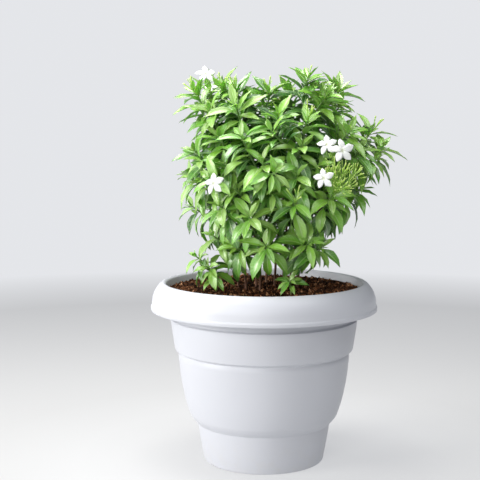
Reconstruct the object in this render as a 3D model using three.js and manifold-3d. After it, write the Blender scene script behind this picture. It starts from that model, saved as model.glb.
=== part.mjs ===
// A crape jasmine in a white plastic pot: millimetres, +Z up, origin at the middle of the pot's base.
// The pot is one moulded shell, filled with soil. Twelve leafy stems stand in plain holes in the soil.
// A stem, its branches, leaf blades and buds are one solid, and each open white flower is another.
import * as THREE from "three";
import { mergeVertices } from "three/addons/utils/BufferGeometryUtils.js";
import Module from "manifold-3d";

const wasm = await Module();
wasm.setup();

// Driving dimensions
const rimRadius = 150;
const potHeight = 239;
const footRadius = 80;
const wall = 3;
const roundSides = 28;
const soilTop = 229;
const seatGap = 0.4;
const rootDepth = 36;
const stemRise = 6;
const stemRadius = 2.2;
const branchRadius = 1.35;
const tipRadius = 1;
const tipOvershoot = 2.5;
const holeSlack = 0.8;
const bladeThickness = 0.8;
const leafLength = 45;
const leafWidth = 15.6;
const flowerRadius = 15.5;
const tubeLength = 13;
const calyxGap = 0.3;

const colours = { pot: 0xf2f3f6, soil: 0x3a2114, leaf: 0x5d9c3a, petal: 0xfbfbf8 };

const vec = (x, y, z) => new THREE.Vector3(x, y, z);
const along = (from, direction, distance) => from.clone().addScaledVector(direction, distance);
const radians = THREE.MathUtils.degToRad;

// A repeatable number from 0 to 1 for each leaf, pair and shoot. Another start gives another plant.
const firstSeed = 4;
function draw(seed, channel) {
  const s = Math.sin((seed + firstSeed) * 12.9898 + channel * 78.233) * 43758.5453;
  return s - Math.floor(s);
}
const spread = (seed, channel, amount) => (draw(seed, channel) * 2 - 1) * amount;

// Each leafy stem: where it leaves the soil, then the tips of its shoots. The first shoot is the leader,
// and the others branch from it. A tip is [x, y, z]. The low stems have smaller leaves.
const stems = [
  { name: "stem_front_left", root: [-24, -26], tips: [[-49, -80, 395], [-56, -90, 345], [-58, -62, 430],
    [-34, -72, 292], [-66, -52, 304], [-78, -52, 374]] },
  { name: "stem_left", root: [-34, -2], tips: [[-91, -10, 487], [-70, -38, 464], [-90, -34, 412],
    [-96, -22, 380], [-94, -4, 338], [-82, -50, 402]] },
  { name: "stem_front_centre", root: [-6, -36], tips: [[-4, -105, 401], [-21, -110, 334], [-1, -106, 298],
    [-30, -90, 430]] },
  { name: "stem_front_right", root: [24, -32], tips: [[43, -92, 420], [35, -108, 351], [54, -92, 299],
    [52, -74, 450], [37, -102, 384], [70, -78, 292]] },
  { name: "stem_right", root: [44, -8], tips: [[121, -52, 414], [82, -95, 359], [153, -20, 416],
    [140, 2, 435], [124, -20, 362]] },
  { name: "stem_back_right", root: [36, 24], tips: [[108, 52, 438], [78, 78, 470], [132, 46, 388],
    [95, 84, 345], [62, 102, 402]] },
  { name: "stem_back", root: [4, 32], tips: [[22, 92, 462], [-8, 108, 412], [20, 112, 350],
    [-14, 96, 300], [56, 96, 296]] },
  { name: "stem_back_left", root: [-24, 22], tips: [[-60, 78, 440], [-90, 42, 402], [-74, 62, 330],
    [-46, 98, 366], [-80, 38, 466]] },
  { name: "stem_top_right", root: [14, -4], tips: [[56, -10, 505], [76, -44, 482], [106, -60, 436],
    [34, 38, 487], [100, 14, 470], [97, -16, 490]] },
  { name: "stem_top_left", root: [-10, 2], tips: [[-56, 0, 492], [-37, -60, 468], [6, -14, 486],
    [-20, 46, 480], [16, -66, 456], [-38, -12, 492]] },
  { name: "stem_low_left", root: [-62, -40], tips: [[-74, -64, 266], [-88, -40, 276]], leafSize: 0.78 },
  { name: "stem_low_front", root: [33, -64], tips: [[31, -80, 250]], leafSize: 0.62 },
];
const canopyHeart = vec(25, 0, 350);
const canopyMiddle = 400;
const canopyHalf = 90;
const shootsPerStem = 20;
const leafSeeds = 40;

// Open flowers: the shoot each one grows from, counted from 0 along its stem's tips, its centre, the way
// it faces, and its size.
const flowers = [
  { name: "flower_right_upper", stem: "stem_right", shoot: 1,
    at: [73, -112, 421], facing: [-0.25, -0.9, 0.35], size: 0.88 },
  { name: "flower_right_middle", stem: "stem_right", shoot: 1,
    at: [91, -120, 414], facing: [0.15, -0.95, 0.25], size: 1 },
  { name: "flower_right_lower", stem: "stem_right", shoot: 1,
    at: [68, -127, 381], facing: [-0.2, -0.9, 0.1], size: 0.84 },
  { name: "flower_left", stem: "stem_front_left", shoot: 1,
    at: [-64, -104, 374], facing: [-0.45, -0.85, 0.2], size: 0.92 },
  { name: "flower_top_left", stem: "stem_left", shoot: 0,
    at: [-76, -2, 511], facing: [0.1, -0.75, 0.6], size: 0.92 },
  { name: "flower_top_behind", stem: "stem_back_left", shoot: 4,
    at: [-74, 28, 494], facing: [-0.3, -0.5, 0.8], size: 0.84 },
  { name: "flower_back_right", stem: "stem_back_right", shoot: 4,
    at: [82, 120, 408], facing: [0.4, 0.8, 0.4], size: 0.95 },
  { name: "flower_back", stem: "stem_back", shoot: 1,
    at: [-14, 130, 432], facing: [-0.2, 0.9, 0.35], size: 0.95 },
];

// Sprays of unopened buds at shoot tips: how many, how wide the cone in degrees, and the stalk length.
const sprays = [
  { stem: "stem_right", shoot: 1, count: 12, cone: 62, stalk: 36 },
  { stem: "stem_top_left", shoot: 0, count: 4, cone: 36, stalk: 13 },
  { stem: "stem_top_left", shoot: 2, count: 4, cone: 40, stalk: 12 },
  { stem: "stem_top_left", shoot: 5, count: 4, cone: 38, stalk: 12 },
  { stem: "stem_top_right", shoot: 0, count: 3, cone: 24, stalk: 9 },
  { stem: "stem_right", shoot: 3, count: 4, cone: 34, stalk: 18 },
  { stem: "stem_front_right", shoot: 1, count: 3, cone: 50, stalk: 13 },
  { stem: "stem_front_right", shoot: 3, count: 3, cone: 40, stalk: 14 },
  { stem: "stem_left", shoot: 0, count: 3, cone: 45, stalk: 12 },
  { stem: "stem_back", shoot: 0, count: 3, cone: 40, stalk: 16 },
];

// One closed solid from a list of points and faces.
function solidFrom(points, faces) {
  return new wasm.Manifold(
    new wasm.Mesh({
      numProp: 3,
      vertProperties: new Float32Array(points.flatMap((p) => [p.x, p.y, p.z])),
      triVerts: new Uint32Array(faces.flat()),
    }),
  );
}

// The same for a three.js geometry, with its shared vertices merged.
function solidOf(geometry) {
  const bare = geometry.index ? geometry.toNonIndexed() : geometry.clone();
  bare.deleteAttribute("normal");
  bare.deleteAttribute("uv");
  const merged = mergeVertices(bare, 1e-3);
  return new wasm.Manifold(
    new wasm.Mesh({
      numProp: 3,
      vertProperties: new Float32Array(merged.attributes.position.array),
      triVerts: new Uint32Array(merged.index.array),
    }),
  );
}

function meshOf(solid, name, colour, roughness) {
  const made = solid.getMesh();
  const geometry = new THREE.BufferGeometry();
  geometry.setAttribute("position", new THREE.BufferAttribute(made.vertProperties, 3));
  geometry.setIndex(new THREE.BufferAttribute(made.triVerts, 1));
  geometry.computeVertexNormals();
  const material = new THREE.MeshStandardMaterial({ color: colour, roughness, metalness: 0 });
  const mesh = new THREE.Mesh(geometry, material);
  mesh.name = name;
  return mesh;
}

// A profile of [radius, z] turned about the Z axis.
function turned(profile) {
  const points = profile.map(([r, z]) => new THREE.Vector2(r, z));
  return solidOf(new THREE.LatheGeometry(points, roundSides).rotateX(Math.PI / 2));
}

// Pot: underside, foot, belly, stepped band and the collar that folds out and down, then the inner wall.
const potProfile = [
  [0, 0], [28, 0], [31, 3], [68, 3], [71, 0], [footRadius, 0], [88.6, 50.6], [92.4, 53.8], [98.2, 61],
  [104.9, 81], [110.8, 110], [114.6, 146.3], [117.6, 148], [119.2, 152.5], [123.2, 181], [124.4, 190.5],
  [122.6, 193.5], [123, 203], [132.4, 234], [138.8, 231], [144.4, 219], [147, 202.8], [rimRadius, 202.8],
  [rimRadius, 207], [149, 208.6], [147.6, 220], [143.6, 229.4], [137.5, 236.6], [133.2, potHeight],
  [129.6, 237.4], [125.6, 222], [119.8, 199], [111.4, 146.5], [107.6, 110], [95.2, 64], [85.3, 52.5],
  [77.4, 2 * wall], [0, 2 * wall],
];
const drainHoles = 6;
const drainHoleRadius = 5;
const drainCircle = 50;

function drainHole(index) {
  const angle = ((index + 0.5) * 2 * Math.PI) / drainHoles;
  const hole = new THREE.CylinderGeometry(drainHoleRadius, drainHoleRadius, 20, 8).rotateX(Math.PI / 2);
  return solidOf(hole.translate(drainCircle * Math.cos(angle), drainCircle * Math.sin(angle), 0));
}

const potSolid = Array.from({ length: drainHoles }, (_, i) => drainHole(i)).reduce(
  (pot, hole) => pot.subtract(hole),
  turned(potProfile),
);

// Soil: fills the pot to just under its crest. Its top is raised in lumps by a formula.
const soilProfile = [
  [0, 2 * wall + seatGap], [77.4 - seatGap, 2 * wall + seatGap], [85.3 - seatGap, 52.5], [95.2 - seatGap, 64],
  [107.6 - seatGap, 110], [111.4 - seatGap, 146.5], [119.8 - seatGap, 199], [125.6 - seatGap, 222],
  [126.9, soilTop], [110, soilTop], [78, soilTop], [38, soilTop], [0, soilTop],
];
const soilEdge = 120;
const crownHeight = 1.6;
const lumpHeight = 1.1;
const soilRise = (x, y) =>
  crownHeight * Math.cos(Math.hypot(x, y) / 60) +
  lumpHeight * (Math.sin(x * 0.31 + 1.7) * Math.sin(y * 0.27 + 0.4) + Math.sin(x * 0.13 - y * 0.17));

function soilSolid() {
  const points = soilProfile.map(([r, z]) => new THREE.Vector2(r, z));
  const bed = new THREE.LatheGeometry(points, roundSides).rotateX(Math.PI / 2);
  const place = bed.attributes.position;
  for (let i = 0; i < place.count; i++) {
    const [x, y] = [place.getX(i), place.getY(i)].map((value) => Math.round(value * 1e3) / 1e3);
    const onTop = place.getZ(i) > soilTop - 1 && Math.hypot(x, y) < soilEdge;
    if (onTop) place.setZ(i, soilTop + soilRise(x, y));
  }
  const holeRadius = stemRadius + holeSlack;
  return stems.reduce((soil, { root: [x, y] }) => {
    const hole = new THREE.CylinderGeometry(holeRadius, holeRadius, 2 * rootDepth, 6).rotateX(Math.PI / 2);
    return soil.subtract(solidOf(hole.translate(x, y, soilTop)));
  }, solidOf(bed));
}

// A shoot's tip points outward from the middle of the canopy and up, a little off by chance.
const outwardPull = 0.85;
const upwardPull = 0.7;
function tipDirection(tip, seed) {
  const out = tip.clone().sub(canopyHeart);
  out.z *= 0.5;
  out.normalize().multiplyScalar(outwardPull);
  return out.add(vec(spread(seed, 1, 0.15), spread(seed, 2, 0.15), upwardPull)).normalize();
}

// A shoot is a cubic curve. The leader rises from the soil almost upright.
function leaderCurve(root, tip, heading) {
  const start = vec(root[0], root[1], soilTop + stemRise);
  const reach = start.distanceTo(tip);
  const lean = tip.clone().sub(start).multiplyScalar(0.12).setZ(reach * 0.42);
  return new THREE.CubicBezierCurve3(start, start.clone().add(lean), along(tip, heading, -reach * 0.33), tip);
}

// A side shoot leaves its leader lower down the further out its tip lies.
function sideCurve(leader, tip, heading) {
  const { v0: bottom, v3: top } = leader;
  const sideways = Math.hypot(tip.x - bottom.x, tip.y - bottom.y);
  const share = (tip.z - 34 - sideways * 0.55 - bottom.z) / (top.z - bottom.z);
  const fork = THREE.MathUtils.clamp(share, 0.12, 0.72);
  const start = leader.getPoint(fork);
  const reach = start.distanceTo(tip);
  const straight = tip.clone().sub(start).divideScalar(reach);
  const departure = leader.getTangent(fork).add(straight).multiplyScalar(0.5);
  return new THREE.CubicBezierCurve3(
    start,
    along(start, departure, reach * 0.34),
    along(tip, heading, -reach * 0.34),
    tip,
  );
}

function shootsOf(stem, stemIndex) {
  let leader = null;
  return stem.tips.map((place, index) => {
    const seed = stemIndex * shootsPerStem + index + 1;
    const tip = vec(...place);
    const heading = tipDirection(tip, seed);
    const curve = leader ? sideCurve(leader, tip, heading) : leaderCurve(stem.root, tip, heading);
    leader ??= curve;
    const { v0, v1, v2, v3 } = curve;
    const reach = (v0.distanceTo(v3) + v0.distanceTo(v1) + v1.distanceTo(v2) + v2.distanceTo(v3)) / 2;
    const turn = radians(draw(seed, 3) * 360);
    const { name, leafSize = 1 } = stem;
    const lift = THREE.MathUtils.clamp((tip.z - canopyMiddle) / canopyHalf, -1, 1);
    const isLeader = index === 0;
    return { seed, tip, heading, curve, reach, turn, leafSize, lift, isLeader, stem: name, index };
  });
}

// The directions at right angles to a shoot at a share of its length.
function shootFrame(shoot, share) {
  const axis = shoot.curve.getTangent(share);
  const across = axis.clone().cross(vec(0, 1, 0)).normalize();
  return { axis, across, other: axis.clone().cross(across) };
}

// Triangles between two rings of corners, which may differ in number. Both run the same way round.
function bridge(lower, upper) {
  const faces = [];
  let [i, j] = [0, 0];
  while (i < lower.length || j < upper.length) {
    const [a, b] = [lower[i % lower.length], upper[j % upper.length]];
    if ((i + 1) / lower.length <= (j + 1) / upper.length) faces.push([a, lower[++i % lower.length], b]);
    else faces.push([a, upper[++j % upper.length], b]);
  }
  return faces;
}
const skinOf = (rings) => rings.slice(1).flatMap((ring, i) => bridge(rings[i], ring));
const capBelow = (ring) => ring.slice(2).map((corner, k) => [ring[0], corner, ring[k + 1]]);
const capAbove = (ring) => ring.slice(2).map((corner, k) => [ring[0], ring[k + 1], corner]);
const pointed = (ring, end) => ring.map((corner, k) => [corner, ring[(k + 1) % ring.length], end]);

// A tapering tube with a few flat sides through a list of points. The last point is its sharp end,
// or its flat end where a last radius is given.
function taperedTube(centres, radii, sides) {
  const points = [];
  let side = null;
  const rings = radii.map((radius, i) => {
    const before = centres[Math.max(i - 1, 0)];
    const after = centres[Math.min(i + 1, centres.length - 1)];
    const forward = after.clone().sub(before).normalize();
    side ??= vec(0.91, 0.37, 0.19).cross(forward);
    side.addScaledVector(forward, -side.dot(forward)).normalize();
    const other = forward.clone().cross(side);
    return Array.from({ length: sides }, (_, k) => {
      const angle = (k * 2 * Math.PI) / sides;
      const rim = along(along(centres[i], side, radius * Math.cos(angle)), other, radius * Math.sin(angle));
      return points.push(rim) - 1;
    });
  });
  const last = rings[rings.length - 1];
  const isSharp = radii.length < centres.length;
  const end = isSharp ? pointed(last, points.push(centres[centres.length - 1]) - 1) : capAbove(last);
  return solidFrom(points, [...capBelow(rings[0]), ...skinOf(rings), ...end]);
}

// Leaf pairs from the tip down: distance from the tip, how far they open from the shoot, size, and droop.
// They grow no further down than this share of the shoot.
const pairs = [
  { back: 4.5, opening: 52, size: 0.8, droop: 34 },
  { back: 10.5, opening: 70, size: 0.97, droop: 46 },
  { back: 21, opening: 84, size: 1, droop: 56 },
  { back: 33, opening: 90, size: 0.98, droop: 60 },
];
const pairReach = 0.84;
// Where a blade would touch another, it is turned about the shoot, opened or shut, and shortened.
const tries = [
  [0, 0, 1], [15, 0, 1], [-15, 0, 1], [0, -14, 1], [0, 14, 1], [27, -8, 1], [-27, -8, 1], [12, -26, 0.94],
  [-12, 24, 0.94], [36, 10, 0.9], [-36, 10, 0.9], [0, -38, 0.86], [22, -34, 0.8], [-22, 30, 0.8],
];
const foldAngle = radians(17);
// Leaves turn their upper faces to the light. High in the plant they stand up, and low down they hang.
const towardLight = vec(-0.25, -0.42, 0.87).normalize();
const lightPull = 0.6;
const openingLift = 0.16;
const droopLift = 0.4;
const bladeStations = [
  { share: 0, width: 0.08 },
  { share: 0.4, width: 1 },
  { share: 0.72, width: 0.68 },
];

// A leaf: its root, the arc its midrib follows, and the side of that arc.
function leafPose(shoot, pairIndex, side, attempt) {
  const pair = pairs[pairIndex];
  const [turn, open, scale] = tries[attempt];
  const seed = shoot.seed * leafSeeds + pairIndex * 2 + side;
  const share = 1 - pair.back / shoot.reach;
  const root = shoot.curve.getPoint(share);
  const { axis, across, other } = shootFrame(shoot, share);
  const azimuth = shoot.turn + radians(pairIndex * 90 + side * 180 + spread(seed, 4, 13) + turn);
  const opening = radians(pair.opening * (1 - openingLift * shoot.lift) + spread(seed, 5, 9) + open);
  const out = across.multiplyScalar(Math.cos(azimuth)).addScaledVector(other, Math.sin(azimuth));
  const forward = axis.clone().multiplyScalar(Math.cos(opening)).addScaledVector(out, Math.sin(opening));
  const upper = axis.clone().multiplyScalar(Math.sin(opening)).addScaledVector(out, -Math.cos(opening));
  const light = towardLight.clone().addScaledVector(forward, -forward.dot(towardLight));
  upper.multiplyScalar(1 - lightPull).addScaledVector(light, lightPull).normalize();
  const length = leafLength * shoot.leafSize * pair.size * scale * (1 + spread(seed, 6, 0.1));
  return {
    root, forward, upper, length,
    side: forward.clone().cross(upper),
    halfWidth: (leafWidth / 2) * (length / leafLength) * (1 + spread(seed, 7, 0.12)),
    droop: radians(pair.droop * (1 - droopLift * shoot.lift) + spread(seed, 8, 14)),
  };
}

// The midrib point, its direction and the blade's upward normal at a share of the length.
function ribAt(leaf, share) {
  const bend = leaf.droop * share;
  const centre = along(
    along(leaf.root, leaf.forward, (leaf.length * Math.sin(bend)) / leaf.droop),
    leaf.upper,
    (-leaf.length * (1 - Math.cos(bend))) / leaf.droop,
  );
  const normal = leaf.upper.clone().multiplyScalar(Math.cos(bend));
  normal.addScaledVector(leaf.forward, Math.sin(bend));
  return { centre: share === 0 ? leaf.root.clone() : centre, normal };
}

// Left edge, midrib and right edge of the blade's middle surface at each station, and the tip.
function bladeRows(leaf) {
  const rows = bladeStations.map(({ share, width }) => {
    const { centre, normal } = ribAt(leaf, share);
    const half = leaf.halfWidth * width;
    const edge = (sign) =>
      along(along(centre, leaf.side, sign * half * Math.cos(foldAngle)), normal, half * Math.sin(foldAngle));
    return { points: [edge(-1), centre, edge(1)], normal };
  });
  return { rows, tip: ribAt(leaf, 1).centre };
}

function bladeTriangles({ rows, tip }) {
  const [a, b, c] = rows.map((row) => row.points);
  const strip = (p, q) => [0, 1].flatMap((k) => [[p[k], p[k + 1], q[k + 1]], [p[k], q[k + 1], q[k]]]);
  return [...strip(a, b), ...strip(b, c), [c[0], c[1], tip], [c[1], c[2], tip]];
}

// The blade as a thin skin that opens out of four corners of the shoot. Both faces are split alike.
function addBlade(points, faces, { rows, tip }, [leftTop, rightTop, rightBottom, leftBottom]) {
  const half = bladeThickness / 2;
  const [wide, narrow] = rows.slice(1).map(({ points: row, normal }) => {
    const top = row.map((p) => points.push(along(p, normal, half)) - 1);
    const bottom = [...row].reverse().map((p) => points.push(along(p, normal, -half)) - 1);
    return [...top, ...bottom];
  });
  const end = points.push(tip) - 1;
  faces.push(
    [leftTop, wide[1], wide[0]], [leftTop, rightTop, wide[1]], [rightTop, wide[2], wide[1]],
    [rightTop, wide[3], wide[2]], [rightTop, rightBottom, wide[3]],
    [rightBottom, wide[4], wide[3]], [rightBottom, leftBottom, wide[4]], [leftBottom, wide[5], wide[4]],
    [leftBottom, wide[0], wide[5]], [leftBottom, leftTop, wide[0]],
    ...pointed(narrow, end),
  );
  for (let k = 0; k < 6; k++) {
    const [a, b, c, d] = [wide[k], wide[(k + 1) % 6], narrow[(k + 1) % 6], narrow[k]];
    if (k < 3) faces.push([a, b, c], [a, c, d]);
    else faces.push([a, b, d], [b, c, d]);
  }
}

// A shoot with its leaves as one skin. Where a pair grows, the two opposite faces between two close
// rings open into the blades.
const nodeHalf = 0.9;
function shootSolid(shoot) {
  const points = [];
  const own = leaves.filter((leaf) => leaf.shoot === shoot);
  const used = pairs.map((_, i) => i).filter((i) => own.some((leaf) => leaf.pairIndex === i)).reverse();
  const thick = shoot.isLeader ? stemRadius : branchRadius;
  const ringAt = (share, corners, drop = 0) => {
    const { across, other } = shootFrame(shoot, share);
    const centre = shoot.curve.getPoint(share).add(vec(0, 0, -drop));
    const radius = THREE.MathUtils.lerp(thick, tipRadius, share);
    return Array.from({ length: corners }, (_, k) => {
      const angle = shoot.turn - Math.PI / 4 + (k * 2 * Math.PI) / corners;
      const rim = along(along(centre, across, radius * Math.cos(angle)), other, radius * Math.sin(angle));
      return points.push(rim) - 1;
    });
  };
  const corners = shoot.isLeader ? 6 : 4;
  const steps = shoot.isLeader ? 5 : 3;
  const bare = 1 - (pairs[used[0] ?? 0].back + 3) / shoot.reach;
  const rings = Array.from({ length: steps }, (_, i) => ringAt((bare * i) / steps, corners));
  rings.push(ringAt(bare, 4));
  if (shoot.isLeader) rings.unshift(ringAt(0, corners, stemRise + rootDepth - seatGap));
  const faces = [...capBelow(rings[0]), ...skinOf(rings)];
  let below = rings[rings.length - 1];
  for (const pairIndex of used) {
    const lower = ringAt(1 - (pairs[pairIndex].back + nodeHalf) / shoot.reach, 4);
    const upper = ringAt(1 - (pairs[pairIndex].back - nodeHalf) / shoot.reach, 4);
    faces.push(...bridge(below, lower));
    for (let k = 0; k < 4; k++) {
      const [a, b, c, d] = [lower[k], lower[(k + 1) % 4], upper[(k + 1) % 4], upper[k]];
      const leaf = own.find((one) => one.pairIndex === pairIndex && (pairIndex + one.side * 2) % 4 === k);
      if (leaf) addBlade(points, faces, leaf.blade, [c, d, a, b]);
      else faces.push([a, b, d], [b, c, d]);
    }
    below = upper;
  }
  const end = points.push(along(shoot.tip, shoot.heading, tipOvershoot)) - 1;
  return solidFrom(points, [...faces, ...pointed(below, end)]);
}

// Smallest distance between two pieces of surface or line, each a triangle or a two-point segment.
const scratch = vec(0, 0, 0);
function segmentGap(p, q, r, s) {
  const [d1, d2, w] = [q.clone().sub(p), s.clone().sub(r), p.clone().sub(r)];
  const [a, e, f] = [d1.dot(d1), d2.dot(d2), d2.dot(w)];
  const [b, c] = [d1.dot(d2), d1.dot(w)];
  const bottom = a * e - b * b;
  let s1 = bottom > 1e-9 ? THREE.MathUtils.clamp((b * f - c * e) / bottom, 0, 1) : 0;
  const t1 = THREE.MathUtils.clamp((b * s1 + f) / e, 0, 1);
  s1 = THREE.MathUtils.clamp((b * t1 - c) / a, 0, 1);
  return p.clone().addScaledVector(d1, s1).distanceTo(r.clone().addScaledVector(d2, t1));
}
const edgesOf = (shape) =>
  shape.length === 2 ? [shape] : [[shape[0], shape[1]], [shape[1], shape[2]], [shape[2], shape[0]]];

function pierces([p, q], [a, b, c]) {
  const direction = q.clone().sub(p);
  const length = direction.length();
  const hit = new THREE.Ray(p, direction.divideScalar(length)).intersectTriangle(a, b, c, false, scratch);
  return hit !== null && hit.distanceTo(p) <= length;
}

function closerThan(one, two, gap) {
  const faces = [one, two].filter((shape) => shape.length === 3);
  for (const face of faces) {
    const other = face === one ? two : one;
    const triangle = new THREE.Triangle(...face);
    if (other.some((p) => triangle.closestPointToPoint(p, scratch).distanceTo(p) < gap)) return true;
    if (edgesOf(other).some((edge) => pierces(edge, face))) return true;
  }
  return edgesOf(one).some((e) => edgesOf(two).some((g) => segmentGap(...e, ...g) < gap));
}

// Everything placed so far, as thin shapes with a thickness, the shoot they belong to and a bounding ball.
const placed = [];
function ballAround(shapes) {
  return new THREE.Sphere().setFromPoints(shapes.flat());
}
function place(shapes, extra, owner) {
  placed.push({ shapes, extra, owner, ball: ballAround(shapes) });
}

// Clearances: from blade to blade, between blades of one shoot, and above the soil and the collar.
const bladeClearance = 1.35;
const ownClearance = 1;
const potClearance = 5;
const floorAt = (p) => (Math.hypot(p.x, p.y) > soilEdge - 2 ? potHeight : soilTop);

function isClear(shapes, shapesPastRoot, owner) {
  if (shapesPastRoot.flat().some((p) => p.z < floorAt(p) + potClearance)) return false;
  const ball = ballAround(shapes);
  return placed.every((other) => {
    const apart = other.ball.center.distanceTo(ball.center) - other.ball.radius - ball.radius;
    if (apart > other.extra + bladeClearance) return true;
    const own = other.owner === owner;
    const gap = (own ? ownClearance : bladeClearance) + other.extra;
    return !(own ? shapesPastRoot : shapes).some((a) => other.shapes.some((b) => closerThan(a, b, gap)));
  });
}

// A leaf stalk joins its own shoot, so blades of one shoot are compared past this share of the first strip.
const stalkShare = 0.25;
function pastRoot({ rows, tip }) {
  const begin = rows[0].points.map((p, i) => p.clone().lerp(rows[1].points[i], stalkShare));
  return bladeTriangles({ rows: [{ points: begin }, rows[1], rows[2]], tip });
}

const allShoots = stems.flatMap((stem, i) => shootsOf(stem, i));
const shootOf = (stem, index) => allShoots.find((shoot) => shoot.stem === stem && shoot.index === index);

// Curves as short segments, for the clearance test. Bulk is the room they need on each side.
const bulk = { leader: 1.6, branch: 0.9, stalk: 0.6, flower: 1.6 };
const segmentsOf = (points) => points.slice(1).map((p, i) => [points[i], p]);
allShoots.forEach((shoot) => {
  const segments = segmentsOf(shoot.curve.getPoints(10));
  segments.forEach((segment) => place([segment], shoot.isLeader ? bulk.leader : bulk.branch, shoot));
});

// Flowers: a five-lobed star that turns like a pinwheel, one petal outline repeated, on a narrow tube.
const petalOutline = [
  { turn: -36, reach: 0.26 }, { turn: -24, reach: 0.58 }, { turn: -15, reach: 0.86 }, { turn: 2, reach: 1 },
  { turn: 17, reach: 0.86 }, { turn: 24, reach: 0.56 },
];
const petalCount = 5;

function flowerFrame({ at, facing }) {
  const axis = vec(...facing).normalize();
  const across = axis.clone().cross(vec(0.2, 0.1, 1)).normalize();
  return { centre: vec(...at), axis, across, other: axis.clone().cross(across) };
}

function flowerPoint({ centre, axis, across, other }, radius, angle, height) {
  const rim = along(along(centre, across, radius * Math.cos(angle)), other, radius * Math.sin(angle));
  return along(rim, axis, height);
}

function flowerSolid(flower) {
  const frame = flowerFrame(flower);
  const perPetal = petalOutline.length;
  const rimCount = petalCount * perPetal;
  const petalTurn = (j) => (j * 2 * Math.PI) / petalCount;
  const outline = Array.from({ length: rimCount }, (_, i) => {
    const { turn, reach } = petalOutline[i % perPetal];
    const height = reach > 0.4 ? (turn > 0 ? 1.1 : -0.5) : -0.4;
    const angle = petalTurn(Math.floor(i / perPetal)) + radians(turn);
    return { angle, radius: reach * flowerRadius * flower.size, height };
  });
  const points = [
    ...outline.map(({ radius, angle, height }) => flowerPoint(frame, radius, angle, height)),
    ...outline.map(({ radius, angle, height }) => flowerPoint(frame, radius, angle, height - bladeThickness)),
    ...[1.5, 1.1].flatMap((radius, level) =>
      Array.from({ length: petalCount }, (_, j) =>
        flowerPoint(frame, radius, petalTurn(j), level ? -tubeLength : -2.4),
      ),
    ),
    flowerPoint(frame, 0, 0, -0.9),
    flowerPoint(frame, 0, 0, -tubeLength),
  ];
  const throat = points.length - 2;
  const foot = points.length - 1;
  const faces = [];
  for (let i = 0; i < rimCount; i++) {
    const next = (i + 1) % rimCount;
    const petal = Math.floor(i / perPetal);
    const neck = rimCount * 2 + petal;
    faces.push([throat, i, next], [i, rimCount + next, next], [i, rimCount + i, rimCount + next]);
    faces.push([rimCount + i, neck, rimCount + next]);
    if (i % perPetal === perPetal - 1)
      faces.push([neck, rimCount * 2 + ((petal + 1) % petalCount), rimCount + next]);
  }
  for (let j = 0; j < petalCount; j++) {
    const [a, b] = [rimCount * 2 + j, rimCount * 2 + ((j + 1) % petalCount)];
    faces.push([a, a + petalCount, b + petalCount], [a, b + petalCount, b]);
    faces.push([foot, b + petalCount, a + petalCount]);
  }
  const star = Array.from({ length: 12 }, (_, i) => {
    const angle = (i * Math.PI) / 6;
    return [
      flowerPoint(frame, flowerRadius * flower.size, angle, 0),
      flowerPoint(frame, flowerRadius * flower.size, angle + Math.PI / 6, 0),
      frame.centre,
    ];
  });
  place([...star, [frame.centre, flowerPoint(frame, 0, 0, -tubeLength)]], bulk.flower, flower);
  return solidFrom(points, faces);
}
const flowerSolids = flowers.map(flowerSolid);

// The green stalk of a flower ends in a calyx just behind the white tube.
function flowerStalk(flower) {
  const shoot = shootOf(flower.stem, flower.shoot);
  const frame = flowerFrame(flower);
  const end = flowerPoint(frame, 0, 0, -tubeLength - calyxGap);
  const begin = along(shoot.tip, shoot.heading, 0.5);
  const reach = begin.distanceTo(end);
  const curve = new THREE.CubicBezierCurve3(
    begin,
    along(begin, shoot.heading, reach * 0.4),
    along(end, frame.axis, -reach * 0.35),
    end,
  );
  const centres = [0, 0.35, 0.68, 0.88, 1].map((share) => curve.getPoint(share));
  place(segmentsOf(centres.slice(1)), bulk.stalk, shoot);
  return { shoot, solid: taperedTube(centres, [0.9, 0.6, 0.6, 1.3, 1.3], 4) };
}

// Bud k of a spray leans away from the shoot's heading on the golden angle, with a stalk and a pointed bud.
const goldenAngle = radians(137.508);
const sprayRise = 0.35;
function budOf(shoot, spray, k) {
  const seed = shoot.seed * leafSeeds + 100 + k;
  const lean = radians(spray.cone) * Math.sqrt((k + 0.5) / spray.count);
  const turn = k * goldenAngle + draw(shoot.seed, 9) * 6;
  const across = shoot.heading.clone().cross(vec(0, 1, 0)).normalize();
  const other = shoot.heading.clone().cross(across);
  const out = across.multiplyScalar(Math.cos(turn)).addScaledVector(other, Math.sin(turn));
  const forward = shoot.heading.clone().multiplyScalar(Math.cos(lean)).addScaledVector(out, Math.sin(lean));
  const stalk = spray.stalk * (1 + spread(seed, 10, 0.25));
  const bud = 9 + spread(seed, 11, 3);
  const base = along(shoot.tip, shoot.heading, 1 + (spray.stalk * sprayRise * k) / spray.count);
  const neck = along(along(base, forward, stalk * 0.75), vec(0, 0, 1), stalk * 0.2);
  const direction = neck.clone().sub(base).normalize();
  const [belly, end] = [along(neck, direction, bud * 0.5), along(neck, direction, bud)];
  return { centres: [base, neck, belly, end], radii: [0.55, 0.6, 1.3] };
}

// The stalk that carries a spray, from the shoot's tip. The buds leave it one above the other.
function sprayStalk(shoot, spray) {
  const length = 2 + spray.stalk * sprayRise;
  const centres = [0, length * 0.5, length].map((distance) => along(shoot.tip, shoot.heading, distance));
  return { shoot, solid: taperedTube(centres, [0.9, 0.8], 4) };
}

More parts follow.
